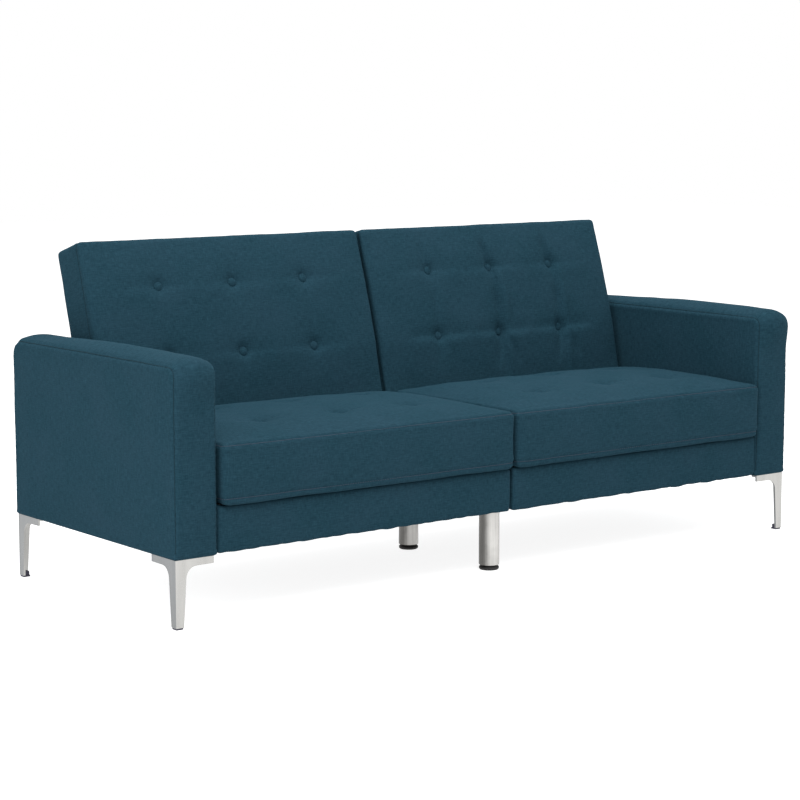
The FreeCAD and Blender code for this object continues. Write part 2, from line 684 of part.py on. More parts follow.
def back_cushion():
    """The padded and covered tray of one back, open behind for its frame, pocketed for the two hinges."""
    body = new_body("BackBlock")
    left, right = f"-({BACK_OUTSIDE})", "-Sizes.back_centre_gap"
    low, high = "-Sizes.back_below_pivot", "Sizes.back_above_pivot"
    corners = [(left, low), (right, low), (right, high), (left, high)]
    face = outline(body, "BackFace", "XZ_Plane", corners, "Sizes.surface_to_pivot")
    solid = pad(body, face, "Sizes.back_thickness", reverse=True)
    front = -size("Sizes.surface_to_pivot") + 1
    round_edges(body, solid, "BackEdges", "Sizes.back_edge_radius", lambda edge: edge.BoundBox.YMax < front)
    hollow = box(
        "BackHollow",
        (f"-({STILE_OUTSIDE})", "Sizes.back_foam - Sizes.surface_to_pivot", FRAME_LOW),
        (f"{STILE_OUTSIDE} - {STILE_INSIDE}", "Sizes.back_thickness", f"{FRAME_HIGH} - {FRAME_LOW}"),
    )
    outer = hinge_pocket("OuterPocket")
    inner = [mirror(f"InnerPocket{n}", item, at=f"-{SEAT_LINE}") for n, item in enumerate(outer)]
    seats = buttons("BackSeat", back_button_places(), "y", "Sizes.soft_gap")
    return lean(cut("BackCushion", body, hollow, *outer, *inner, *seats))


def hinge_pocket(name):
    """Room in the back's padding for the outer hinge's plates and pawl, and for the rivet's inner head."""
    reach, below = POCKET_REACH, "Sizes.back_below_pivot + 1"
    swing = box(
        name + "Swing",
        (f"-({STILE_OUTSIDE}) - Sizes.pocket_depth", f"-{reach}", f"-({below})"),
        ("Sizes.pocket_depth", f"{reach} + {BACK_REAR} + 1", f"{reach} + {below}"),
    )
    arm = box(
        name + "Arm",
        (f"-({BACK_PLATE_FACE}) - Sizes.plate_gap", "-Sizes.hub_radius", "0"),
        (
            "Sizes.plate_thickness + Sizes.plate_gap",
            f"Sizes.hub_radius + {BACK_REAR} + 1",
            "Sizes.hinge_arm_top + Sizes.soft_gap",
        ),
    )
    around = "(Sizes.pivot_head_radius + 2 * Sizes.pivot_head_height)"
    head = box(
        name + "Head",
        (f"-({STILE_OUTSIDE}) - 1", f"-{around}", f"-({below})"),
        ("2 * Sizes.pivot_head_height + 1", f"{around} + {FRAME_FACE}", f"{below} + {around}"),
    )
    return [swing, arm, head]


def back_frame():
    """The timber of one back: two stiles and three cross rails."""
    high = f"{FRAME_HIGH} - {FRAME_LOW}"
    stile = ("Sizes.stile_width", FRAME_DEPTH, high)
    outer = box("OuterStile", (f"-({STILE_OUTSIDE})", FRAME_FACE, FRAME_LOW), stile)
    inner = box("InnerStile", (f"-({STILE_INSIDE}) - Sizes.stile_width", FRAME_FACE, FRAME_LOW), stile)
    left = f"-({STILE_OUTSIDE}) + Sizes.stile_width"
    wide = f"{STILE_OUTSIDE} - {STILE_INSIDE} - 2 * Sizes.stile_width"
    highest = f"({FRAME_HIGH} - Sizes.back_rail_height)"
    steps = (FRAME_LOW, f"({FRAME_LOW} + {highest}) / 2", highest)
    rails = [
        box(f"BackRail{n}", (left, FRAME_FACE, z), (wide, FRAME_DEPTH, "Sizes.back_rail_height"))
        for n, z in enumerate(steps)
    ]
    return lean(group("BackFrame", outer, inner, *rails))


def back_straps():
    """Elastic straps across the front of the back frame."""
    lowest = f"({FRAME_LOW} + Sizes.back_rail_height + 10)"
    highest = f"({FRAME_HIGH} - Sizes.back_rail_height - Sizes.strap_width - 10)"
    start = f"-({STILE_OUTSIDE}) + 4"
    straps = [
        box(
            f"BackStrap{n}",
            (
                start,
                f"{FRAME_FACE} - Sizes.strap_thickness",
                f"{lowest} + ({highest} - {lowest}) * {n} / {BACK_STRAPS - 1}",
            ),
            (f"{STILE_OUTSIDE} - {STILE_INSIDE} - 8", "Sizes.strap_thickness", "Sizes.strap_width"),
        )
        for n in range(BACK_STRAPS)
    ]
    return lean(group("BackStraps", *straps))


def back_lining():
    """The cloth across the rear of the back frame."""
    panel = box(
        "BackLining",
        (f"-({STILE_OUTSIDE})", f"{BACK_REAR} - Sizes.back_lining", FRAME_LOW),
        (f"{STILE_OUTSIDE} - {STILE_INSIDE}", "Sizes.back_lining", f"{FRAME_HIGH} - {FRAME_LOW}"),
    )
    return lean(panel)


# ---------------------------------------------------------------- hinges, outer left


def flat_plate(name, corners, face):
    """A flat plate parallel to YZ, a plate's thickness inwards from the given distance from the middle."""
    body = new_body(name)
    pad(body, outline(body, name + "Outline", "YZ_Plane", corners, f"-({face})"), "Sizes.plate_thickness")
    return body


def seat_plate():
    """The hinge plate that is screwed to the base's side rail and carries the hinge rivet and the pawl."""
    hub = "Sizes.seat_hub_radius"
    neck, shoulder = "-Sizes.hinge_neck", "-Sizes.hinge_shoulder_front"
    foot_top = f"({RAIL_TOP} - {PIVOT_Z} - Sizes.hinge_foot_drop)"
    foot_low = f"({foot_top} - Sizes.hinge_foot_height)"
    corners = [
        (f"-{hub}", "0"),
        (neck, neck),
        (shoulder, "-Sizes.hinge_shoulder_drop"),
        (shoulder, foot_top),
        ("-Sizes.hinge_foot_reach", foot_top),
        ("-Sizes.hinge_foot_reach", foot_low),
        (hub, foot_low),
        (hub, "0"),
    ]
    plate = flat_plate("SeatPlateFlat", corners, HINGE_FACE)
    disc = rod("SeatPlateHub", (f"-({HINGE_FACE})", "0", "0"), hub, "Sizes.plate_thickness", "x")
    holes = [pin_hole("SeatPlateBore", HINGE_FACE), pawl_hole("SeatPlatePawlBore", HINGE_FACE)]
    return on_pivot(cut("SeatPlate", fuse("SeatPlateSolid", plate, disc), *holes))


def pin_hole(name, face):
    """The running bore for the hinge rivet in a plate."""
    radius = "Sizes.pivot_radius + Sizes.pivot_clearance"
    return rod(name, (f"-({face}) - 1", "0", "0"), radius, "Sizes.plate_thickness + 2", "x")


def pawl_hole(name, face):
    """The running bore for the pawl's rivet in a plate."""
    return rod(
        name,
        (f"-({face}) - 1", "-Sizes.pawl_pin_front", "-Sizes.pawl_pin_drop"),
        "Sizes.pawl_pin_radius + Sizes.pivot_clearance",
        "Sizes.plate_thickness + 2",
        "x",
    )


def back_plate():
    """The hinge plate that is screwed to the back's stile, with the ratchet notches round its hub."""
    face, thickness = f"-({BACK_PLATE_FACE})", "Sizes.plate_thickness"
    hub = rod("BackPlateHub", (face, "0", "0"), "Sizes.hub_radius", thickness, "x")
    front = f"({FRAME_FACE} + Sizes.hinge_arm_inset)"
    rear = f"({FRAME_FACE} + {FRAME_DEPTH} - Sizes.hinge_arm_inset)"
    top, bend = "Sizes.hinge_arm_top", "Sizes.hinge_arm_bend"
    reach = "0.8 * Sizes.hub_radius"
    corners = [
        (f"-{reach}", f"{reach} / 2"),
        (front, bend),
        (front, top),
        (rear, top),
        (rear, f"{bend} - {reach}"),
        (reach, f"-{reach} / 2"),
    ]
    arm = flat_plate("BackPlateArm", corners, BACK_PLATE_FACE)
    notches = []
    for n in range(RATCHET_NOTCHES):
        angle = FIRST_NOTCH - NOTCH_SPACING * n
        ring = "(Sizes.hub_radius + Sizes.notch_radius / 3)"
        notches.append(
            rod(
                f"Notch{n}",
                (f"-({BACK_PLATE_FACE}) - 1", f"{ring} * cos({angle}deg)", f"{ring} * sin({angle}deg)"),
                "Sizes.notch_radius",
                "Sizes.plate_thickness + 2",
                "x",
            )
        )
    bore = pin_hole("BackPlateBore", BACK_PLATE_FACE)
    return lean(cut("BackPlate", fuse("BackPlateSolid", hub, arm), bore, *notches))


def hinge_rivet():
    """The rivet that is the hinge's axis, with a head outside each plate."""
    grip = "2 * Sizes.plate_thickness + Sizes.plate_gap"
    start = f"-({HINGE_FACE})"
    pin = rod("RivetPin", (start, "0", "0"), "Sizes.pivot_radius", grip, "x")
    head, height = "Sizes.pivot_head_radius", "Sizes.pivot_head_height"
    outer = rod("RivetOuterHead", (f"{start} - {height}", "0", "0"), head, height, "x")
    inner = rod("RivetInnerHead", (f"{start} + {grip}", "0", "0"), head, height, "x")
    return on_pivot(fuse("HingeRivet", pin, outer, inner))


def pawl_pin():
    """The flush rivet that the pawl turns on."""
    return on_pivot(
        rod(
            "PawlPin",
            (f"-({HINGE_FACE})", "-Sizes.pawl_pin_front", "-Sizes.pawl_pin_drop"),
            "Sizes.pawl_pin_radius",
            "2 * Sizes.plate_thickness + Sizes.plate_gap",
            "x",
        )
    )


PAWL_NOSE_Z = "(-Sizes.hub_radius - Sizes.pawl_gap)"


def pawl():
    """The spring-loaded pawl beside the ratchet hub. Its nose stands just outside the hub."""
    boss, nose = "Sizes.pawl_boss_radius", "Sizes.pawl_nose"
    pin_y, pin_z = "-Sizes.pawl_pin_front", "-Sizes.pawl_pin_drop"
    corners = [
        (f"{pin_y} - {boss} * cos(72deg)", f"{pin_z} + {boss} * sin(72deg)"),
        (f"-{nose}", PAWL_NOSE_Z),
        (f"{nose} / 2", f"{PAWL_NOSE_Z} - {nose}"),
        (f"-{nose}", f"{PAWL_NOSE_Z} - 3 * {nose}"),
        (f"{pin_y} + {boss} * cos(60deg)", f"{pin_z} - {boss} * sin(60deg)"),
    ]
    lever = flat_plate("PawlLever", corners, BACK_PLATE_FACE)
    disc = rod("PawlBoss", (f"-({BACK_PLATE_FACE})", pin_y, pin_z), boss, "Sizes.plate_thickness", "x")
    return on_pivot(cut("Pawl", fuse("PawlSolid", lever, disc), pawl_hole("PawlBore", BACK_PLATE_FACE)))


def pawl_spring():
    """The leaf spring that holds the pawl towards the hub, on a foot that stands on the seat plate."""
    nose, foot = "Sizes.pawl_nose", "Sizes.pawl_spring_foot"
    front = "-Sizes.hinge_shoulder_front + 1"
    tip_y, tip_z = f"-2 * {nose}", f"({PAWL_NOSE_Z} - 4.5 * {nose} - Sizes.soft_gap)"
    low = "(-Sizes.pawl_pin_drop - 3 * Sizes.pawl_boss_radius)"
    corners = [
        (front, f"{low} - 2 * {foot}"),
        (f"{front} + {foot}", f"{low} - 2 * {foot}"),
        (f"{front} + {foot}", low),
        (tip_y, f"{tip_z} - 1"),
        (tip_y, tip_z),
        (front, f"{low} + 1"),
    ]
    return on_pivot(flat_plate("PawlSpring", corners, f"({HINGE_FACE} - Sizes.plate_thickness)"))


# ---------------------------------------------------------------- legs


def leg_face(body, name, role, reverse):
    """One wall of a corner leg: a flange above a tapering stem."""
    top, foot = "Sizes.leg_height", "Sizes.glide_height"
    corners = [
        ("0", foot),
        ("Sizes.leg_stem_foot", foot),
        ("Sizes.leg_stem_top", f"{top} - Sizes.leg_flange_height - 1"),
        ("Sizes.leg_flange", f"{top} - Sizes.leg_flange_height"),
        ("Sizes.leg_flange", top),
        ("0", top),
    ]
    return pad(body, outline(body, name, role, corners), "Sizes.leg_wall", reverse)


def corner_leg():
    """The front left leg: an angle casting with two walls and a top plate, drilled for its screws."""
    body = new_body("CornerLeg")
    leg_face(body, "LegFrontFace", "XZ_Plane", True)
    leg_face(body, "LegSideFace", "YZ_Plane", False)
    wall, flange = "Sizes.leg_wall", "Sizes.leg_flange"
    lip = "Sizes.leg_plate_lip"
    corners = [(wall, wall), (flange, wall), (flange, lip), (lip, flange), (wall, flange)]
    plan = outline(body, "LegPlate", "XY_Plane", corners, f"Sizes.leg_height - {wall}")
    plate = pad(body, plan, wall)
    throat = size("Sizes.leg_height") - size("Sizes.leg_flange_height") - 1
    stem = size("Sizes.leg_stem_top")
    reach = size("Sizes.leg_wall") / 2

    def in_throat(edge):
        middle = edge.CenterOfMass
        return abs(middle.z - throat) < 0.1 and abs(max(middle.x, middle.y) - stem) < 0.1

    def on_corner(edge):
        return runs_along(edge, "z") and max(edge.CenterOfMass.x, edge.CenterOfMass.y) < reach

    last = round_edges(body, plate, "LegThroats", "Sizes.leg_throat", in_throat)
    round_edges(body, last, "LegCorner", "Sizes.leg_edge", on_corner)
    holes = leg_screw_shanks("LegHole", "Sizes.leg_screw_radius + Sizes.bolt_clearance", "1", f"2 * {wall}")
    return cut("CornerLegDrilled", at_corner(body), *holes)


def leg_screw_places():
    """The screws through a corner leg's top plate, from the leg's corner."""
    near, far = "Sizes.leg_screw_near", "Sizes.leg_screw_far"
    return [(near, near), (far, near), (near, far)]


def at_corner(item, x="0", y="0"):
    """Sets a piece built from the leg's outside corner under the front left corner of the arm."""
    return bind(
        item,
        x=f"-({HALF_WIDTH}) + Sizes.leg_inset + {x}",
        y=f"-Sizes.arm_depth / 2 + Sizes.leg_inset + {y}",
    )


def leg_screw_shanks(name, radius, above, below="0"):
    """Rods on the front left leg's screw axes, reaching above and below the underside of the arm."""
    shanks = []
    for n, (x, y) in enumerate(leg_screw_places()):
        shank = rod(f"{name}{n}", ("0", "0", f"Sizes.leg_height - {below}"), radius, f"{above} + {below}")
        shanks.append(at_corner(shank, x, y))
    return shanks


def leg_screws():
    """The screws of the front left leg."""
    grip = "Sizes.leg_wall"
    height = "Sizes.leg_screw_head_height"
    above = f"Sizes.leg_screw_length - {grip}"
    low = f"Sizes.leg_height - {grip} - {height}"
    shanks = leg_screw_shanks("LegScrewShank", "Sizes.leg_screw_radius", above, grip)
    screws = []
    for n, (shank, (x, y)) in enumerate(zip(shanks, leg_screw_places())):
        head = rod(f"LegScrewHead{n}", ("0", "0", low), "Sizes.leg_screw_head", height)
        screws.append(fuse(f"LegScrew{n}", shank, at_corner(head, x, y)))
    return screws


def glide():
    """The plastic glide under a corner leg, with a plug that fits inside the angle."""
    inset, wall = "Sizes.glide_inset", "Sizes.leg_wall"
    side = f"Sizes.leg_stem_foot - 2 * {inset}"
    plug_side = f"Sizes.leg_stem_foot - {wall} - 2 * {inset}"
    foot = box("GlidePad", (inset, inset, "0"), (side, side, "Sizes.glide_height"))
    plug = box("GlidePlug", (wall, wall, "Sizes.glide_height"), (plug_side, plug_side, "Sizes.glide_reach"))
    return at_corner(fuse("Glide", foot, plug))


def centre_leg_places():
    """Where the centre legs stand along Y."""
    return [f"({FRONT} + {place})" for place in ("Sizes.centre_leg_front", "Sizes.centre_leg_rear")]


def centre_leg(name, place):
    """A round centre leg: a tube with a threaded cap in its lower end."""
    bottom = "Sizes.centre_leg_bottom"
    top = f"({BASE_BOTTOM} - Sizes.centre_plate_thickness)"
    radius, cap = "Sizes.centre_leg_radius", "Sizes.centre_leg_cap"
    thread_radius = "Sizes.foot_stem_radius + Sizes.foot_stem_clearance"
    outside = rod(name + "Outside", ("0", place, bottom), radius, f"{top} - {bottom}")
    bore = f"{radius} - Sizes.centre_leg_wall"
    inside = rod(name + "Inside", ("0", place, f"{bottom} + {cap}"), bore, f"{top} - {bottom}")
    thread = rod(name + "Thread", ("0", place, f"{bottom} - 1"), thread_radius, f"{cap} + 2")
    return cut(name, outside, inside, thread)


def centre_foot(name, place):
    """A levelling foot: a round pad, a nut and a threaded stem that turns in the centre leg's cap."""
    body = new_body(name)
    pad_edge, nut, stem = "Sizes.foot_radius", "Sizes.foot_collar_radius", "Sizes.foot_stem_radius"
    low, mid = "Sizes.foot_height", "(Sizes.foot_height + Sizes.foot_collar_height)"
    bevel = "Sizes.foot_chamfer"
    corners = [
        ("0", "0"),
        (f"{pad_edge} - {bevel}", "0"),
        (pad_edge, bevel),
        (pad_edge, f"{low} - {bevel}"),
        (f"{pad_edge} - {bevel}", low),
        (nut, low),
        (nut, mid),
        (stem, mid),
        (stem, f"{mid} + Sizes.foot_stem_length"),
        ("0", f"{mid} + Sizes.foot_stem_length"),
    ]
    section = outline(body, name + "Section", "XZ_Plane", corners)
    turned = body.newObject("PartDesign::Revolution", name + "Turned")
    turned.Profile = section
    turned.ReferenceAxis = (section, ["V_Axis"])
    turned.Angle = 360
    body.Tip = turned
    return bind(body, y=place)


def centre_plates():
    """The plates that join the two base frames over the centre legs."""
    half = "Sizes.centre_plate_size / 2"
    side = "Sizes.centre_plate_size"
    level = f"{BASE_BOTTOM} - Sizes.centre_plate_thickness"
    lengths = (side, side, "Sizes.centre_plate_thickness")
    plates = [
        box(f"CentrePlate{n}", (f"-{half}", f"{place} - {half}", level), lengths)
        for n, place in enumerate(centre_leg_places())
    ]
    return group("CentrePlates", *plates)


def joining_bolts():
    """The bolts that hold the two inner side rails together, with a nut on each."""
    reach = f"({RAIL_INSIDE} + Sizes.rail_thickness)"
    head, height = "Sizes.bolt_head_radius", "Sizes.bolt_head_height"
    bolts = []
    for n, place in enumerate(join_places()):
        shank = rod(f"JoinShank{n}", (f"-{reach}", place, BOLT_Z), "Sizes.bolt_radius", f"2 * {reach}", "x")
        cap = rod(f"JoinHead{n}", (f"-{reach} - {height}", place, BOLT_Z), head, height, "x")
        nut = rod(f"JoinNut{n}", (reach, place, BOLT_Z), head, height, "x")
        bolts.append(fuse(f"JoinBolt{n}", shank, cap, nut))
    return group("JoiningBolts", *bolts)


# ---------------------------------------------------------------- assembly


def spread(name, item):
    """A piece at the front left corner and its copies at the other three."""
    rear = mirror(name + "Rear", item, "y")
    return [item, rear, mirror(name + "RightFront", item), mirror(name + "RightRear", rear)]


both_sides("arm_cover", arm_cover())
both_sides("arm_frame", arm_frame())
left_bolts = arm_bolts()
node("arm_bolts", group("AllArmBolts", left_bolts, mirror("RightArmBolts", left_bolts)))
both_sides("seat_apron", base_cover())
both_sides("seat_side_rails", base_side_rails())
both_sides("seat_cross_rails", base_cross_rails())
both_sides("seat_springs", seat_springs())
both_sides("dust_cover", dust_cover())
both_sides("seat_cushion", seat_cushion())
both_sides("seat_buttons", group("SeatButtons", *buttons("SeatButton", seat_button_places(), "z")))
node("joining_bolts", joining_bolts())

both_sides("back_cushion", back_cushion())
both_sides("back_buttons", lean(group("BackButtons", *buttons("BackButton", back_button_places(), "y"))))
both_sides("back_frame", back_frame())
both_sides("back_straps", back_straps())
both_sides("back_lining", back_lining())

both_ends("seat_plate", seat_plate())
both_ends("back_plate", back_plate())
both_ends("pawl", pawl())
both_ends("pawl_spring", pawl_spring())
outer_rivets = [hinge_rivet(), pawl_pin()]
inner_rivets = [mirror(item.Name + "Inner", item, at=f"-{SEAT_LINE}") for item in outer_rivets]
both_sides("hinge_rivets", group("HingeRivets", *outer_rivets, *inner_rivets))

front_leg = corner_leg()
both_sides("front_leg", front_leg)
both_sides("rear_leg", mirror("RearLeg", front_leg, "y"))
front_glide = glide()
both_sides("leg_glides", group("LegGlides", front_glide, mirror("RearGlide", front_glide, "y")))
all_leg_screws = [copy for screw in leg_screws() for copy in spread(screw.Name, screw)]
node("leg_screws", group("LegScrews", *all_leg_screws))

for end, place in zip(("front", "rear"), centre_leg_places()):
    node(f"centre_{end}_leg", centre_leg(f"Centre{end.title()}Leg", place))
    node(f"centre_{end}_foot", centre_foot(f"Centre{end.title()}Foot", place))
node("centre_plates", centre_plates())

doc.recompute()

for item in doc.Objects:
    if "Invalid" in item.State or "Error" in item.State:
        raise RuntimeError(f"{item.Name} failed: {item.State}")
for label, item in made.items():
    if item.Shape.isNull() or not item.Shape.isValid():
        raise RuntimeError(f"{label} has no valid shape")

os.makedirs("parts", exist_ok=True)
for label, item in made.items():
    item.Shape.exportStep(f"parts/{label}.step")
print(len(made), "sub-parts written")
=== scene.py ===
"""Upholstery, finishes and studio for a split-back sofa bed, built round its fixed construction frame.

Lengths are metres in the frame's own axes: +X to the right of someone facing the sofa, +Y towards its rear,
+Z up, with the floor at zero. A back is shaped in its own axes first: +Z runs up the back, -Y is its face and
the hinge axis is the origin.
"""

import json
import logging
import math
from collections.abc import Callable, Iterable, Sequence
from dataclasses import dataclass, field
from enum import Enum

import bmesh
import bpy
import numpy as np
from mathutils import Matrix, Vector, noise
from mathutils.bvhtree import BVHTree
from mathutils.kdtree import KDTree


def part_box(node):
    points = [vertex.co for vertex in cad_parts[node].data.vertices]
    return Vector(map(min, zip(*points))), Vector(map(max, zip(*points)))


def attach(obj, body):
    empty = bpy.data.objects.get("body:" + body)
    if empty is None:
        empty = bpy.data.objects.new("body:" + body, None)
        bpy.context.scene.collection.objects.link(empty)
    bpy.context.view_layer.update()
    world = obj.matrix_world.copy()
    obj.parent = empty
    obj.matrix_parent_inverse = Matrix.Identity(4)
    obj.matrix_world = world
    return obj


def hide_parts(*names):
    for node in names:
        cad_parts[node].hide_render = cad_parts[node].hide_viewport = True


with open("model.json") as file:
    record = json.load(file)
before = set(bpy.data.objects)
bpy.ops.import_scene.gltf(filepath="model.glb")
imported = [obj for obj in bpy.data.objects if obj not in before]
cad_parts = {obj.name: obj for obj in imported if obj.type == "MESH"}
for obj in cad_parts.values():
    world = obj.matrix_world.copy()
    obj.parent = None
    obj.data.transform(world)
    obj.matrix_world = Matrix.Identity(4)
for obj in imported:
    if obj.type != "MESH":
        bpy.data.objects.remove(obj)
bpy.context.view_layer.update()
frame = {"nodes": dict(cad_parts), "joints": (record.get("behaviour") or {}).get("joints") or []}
LOG = logging.getLogger("sofa_bed")

Colour = tuple[float, float, float, float]
Box = tuple[Vector, Vector]


class Side(Enum):
    """One half of the sofa, with the sign of its X."""

    LEFT = -1
    RIGHT = 1

    @property
    def prefix(self) -> str:
        """The first word of the half's node names."""
        return self.name.lower()


# ---------------------------------------------------------------- shader building


class Value:
    """A number socket that takes part in Python arithmetic by adding Math nodes."""

    def __init__(self, shader: "Shader", socket: bpy.types.NodeSocket) -> None:
        """Wraps a socket of a shader's tree."""
        self.shader = shader
        self.socket = socket

    def _combine(self, operation: str, *operands: "Value | float") -> "Value":
        """Adds one Math node over the operands."""
        node = self.shader.node("ShaderNodeMath", {"operation": operation}, *operands)
        return Value(self.shader, node.outputs[0])

    def __add__(self, other: "Value | float") -> "Value":
        """self + other."""
        return self._combine("ADD", self, other)

    __radd__ = __add__

    def __mul__(self, other: "Value | float") -> "Value":
        """self * other."""
        return self._combine("MULTIPLY", self, other)

    __rmul__ = __mul__

    def __sub__(self, other: "Value | float") -> "Value":
        """self - other."""
        return self._combine("SUBTRACT", self, other)

    def __rsub__(self, other: "Value | float") -> "Value":
        """other - self."""
        return self._combine("SUBTRACT", other, self)

    def __pow__(self, power: float) -> "Value":
        """self to a power."""
        return self._combine("POWER", self, power)

    def wave(self, pitch: float) -> "Value":
        """A sine of the value, from 0 to 1, that repeats every pitch."""
        return self._combine("SINE", self * (2 * math.pi / pitch)) * 0.5 + 0.5

    def clamped(self) -> "Value":
        """The value held between 0 and 1."""
        node = self.shader.node("ShaderNodeClamp", {}, self)
        return Value(self.shader, node.outputs[0])


class Shader:
    """A material's node tree round one Principled shader."""

    def __init__(self, name: str, **settings: float | Colour) -> None:
        """Makes the material.

        Args:
            name: the material's name.
            settings: constants for the shader's own sockets, with _ for each space in a socket's name.
        """
        self.material = bpy.data.materials.new(name)
        self.material.use_nodes = True
        self.tree = self.material.node_tree
        self.surface = next(node for node in self.tree.nodes if node.type == "BSDF_PRINCIPLED")
        for label, value in settings.items():
            self.surface.inputs[label.replace("_", " ")].default_value = value

    def node(self, kind: str, settings: dict[str, object], *inputs: object, **named: object) -> bpy.types.Node:
        """Adds a node.

        Args:
            kind: the node's type.
            settings: its properties, set before its sockets.
            inputs: values or links of its sockets, in order; None leaves one alone.
            named: values or links of sockets by name, with _ for each space.

        Returns:
            The new node.
        """
        made = self.tree.nodes.new(kind)
        for label, value in settings.items():
            setattr(made, label, value)
        pairs = [(made.inputs[n], item) for n, item in enumerate(inputs) if item is not None]
        pairs += [(made.inputs[label.replace("_", " ")], item) for label, item in named.items()]
        for socket, item in pairs:
            self.feed(socket, item)
        return made

    def feed(self, socket: bpy.types.NodeSocket, item: object) -> None:
        """Sets or links one socket."""
        if isinstance(item, Value):
            item = item.socket
        if isinstance(item, bpy.types.NodeSocket):
            self.tree.links.new(item, socket)
        else:
            socket.default_value = item

    def coordinates(self, source: str = "Object", scale: Sequence[float] = (1, 1, 1)) -> bpy.types.NodeSocket:
        """Texture coordinates, stretched by a scale.

        Args:
            source: Object, or UV for a piece's own map.
            scale: repeats per metre along each axis.

        Returns:
            A vector socket.
        """
        place = self.node("ShaderNodeTexCoord", {})
        mapping = self.node("ShaderNodeMapping", {}, place.outputs[source], Scale=scale)
        return mapping.outputs[0]

    def noise(self, vector: bpy.types.NodeSocket, scale: float, detail: float = 2.0) -> Value:
        """Smooth noise over a vector, from 0 to 1."""
        made = self.node("ShaderNodeTexNoise", {}, Vector=vector, Scale=scale, Detail=detail, Roughness=0.55)
        return Value(self, made.outputs[0])

    def flank(self) -> Value:
        """Where a surface faces the sofa's ends, from 0 to 1: painted shade, which darkens metals there in place of
        darker reflections at their sides.
        """
        x, _, _ = self.split(self.node("ShaderNodeNewGeometry", {}).outputs["Normal"])
        return ((x * x - 0.3) * 1.6).clamped()

    def split(self, vector: bpy.types.NodeSocket) -> tuple[Value, Value, Value]:
        """The three parts of a vector."""
        made = self.node("ShaderNodeSeparateXYZ", {}, vector)
        return tuple(Value(self, socket) for socket in made.outputs)

    def blend(self, factor: Value | float, first: object, second: object) -> bpy.types.NodeSocket:
        """A colour between two colours."""
        made = self.node("ShaderNodeMix", {"data_type": "RGBA"}, Factor=factor)
        self.feed(made.inputs[6], first)
        self.feed(made.inputs[7], second)
        return made.outputs[2]

    def set(self, **links: object) -> None:
        """Feeds the shader's own sockets, with _ for each space in a socket's name."""
        for label, item in links.items():
            self.feed(self.surface.inputs[label.replace("_", " ")], item)

    def bump(self, height: Value, depth: float, strength: float = 1.0) -> None:
        """Lets a height field shape the shading.

        Args:
            height: the field, from 0 to 1.
            depth: metres from its low to its high.
            strength: how much of the bump shows.
        """
        made = self.node("ShaderNodeBump", {}, Strength=strength, Distance=depth, Height=height)
        self.set(Normal=made.outputs[0])


# ---------------------------------------------------------------- finishes


@dataclass(frozen=True)
class WovenCloth:
    """Plain-woven upholstery cloth with slubs along the weft and a soft bloom."""

    name: str = "petrol_cloth"
    dark: Colour = (0.0088, 0.036, 0.054, 1)
    light: Colour = (0.0290, 0.087, 0.122, 1)
    shade: Colour = (0.026, 0.048, 0.078, 1)
    pitch: float = 0.0016
    depth: float = 0.0004

    def material(self) -> bpy.types.Material:
        """The cloth, woven along the piece's own map in metres."""
        shader = Shader(
            self.name, Roughness=0.92, Sheen_Weight=0.04, Sheen_Roughness=0.4, Specular_IOR_Level=0.08,
            Sheen_Tint=(0.2, 0.7, 1.0, 1),
        )
        cloth = shader.coordinates("UV")
        across, along, _ = shader.split(cloth)
        weft = shader.noise(shader.coordinates("UV", (70, 430, 1)), 1.0, 3)
        warp = shader.noise(shader.coordinates("UV", (430, 70, 1)), 1.0, 3)
        slub = shader.noise(shader.coordinates("UV", (16, 210, 1)), 1.0, 2)
        cloud = shader.noise(cloth, 7.0, 3)
        grain = shader.noise(cloth, 800.0, 2)
        threads = across.wave(self.pitch) * along.wave(self.pitch)
        tone = weft * 1.3 + warp * 1.1 + slub * 0.35 + cloud * 0.4 + grain * 0.5 + threads * 0.15 - 1.39
        plain = shader.blend(tone.clamped(), self.dark, self.light)
        dusk = ((cloud + slub * 0.3 - 0.5) * 1.6).clamped() * 0.3
        shader.set(Base_Color=shader.blend(dusk, plain, self.shade))
        shader.bump(threads * 0.5 + weft * 0.6 + warp * 0.4, self.depth, 0.55)
        return shader.material


@dataclass(frozen=True)
class SeamThread:
    """The doubled edge of cloth that shows along a sewn seam."""

    name: str
    colour: Colour

    def material(self) -> bpy.types.Material:
        """A twisted, slightly fuzzy edge."""
        shader = Shader(self.name, Roughness=0.85, Sheen_Weight=0.02, Specular_IOR_Level=0.1)
        fibre = shader.noise(shader.coordinates(), 420.0, 3)
        shadow = tuple(0.6 * part for part in self.colour[:3]) + (1,)
        shader.set(Base_Color=shader.blend(fibre, shadow, self.colour))
        shader.bump(fibre, 0.0004, 0.6)
        return shader.material


@dataclass(frozen=True)
class PolishedCasting:
    """A polished aluminium casting with a faint flow in its surface."""

    name: str = "polished_aluminium"

    def material(self) -> bpy.types.Material:
        """Bright metal with soft smears, and painted shade where it faces the sofa's ends."""
        shader = Shader(self.name, Metallic=1.0)
        smear = shader.noise(shader.coordinates("Object", (1, 1, 0.12)), 30.0, 2)
        fine = shader.noise(shader.coordinates(), 120.0, 3)
        flank = shader.flank()
        polish = shader.blend(smear, (0.30, 0.296, 0.285, 1), (0.50, 0.493, 0.475, 1))
        # Painted shade: the casting is blended towards dark grey where it faces the sofa's ends, in place of
        # reflections.
        shader.set(Base_Color=shader.blend(flank * (0.6 + smear * 0.4), polish, (0.17, 0.178, 0.185, 1)))
        shader.set(Roughness=smear * 0.12 + fine * 0.05 + 0.2)
        shader.bump(smear, 0.0003, 0.12)
        return shader.material


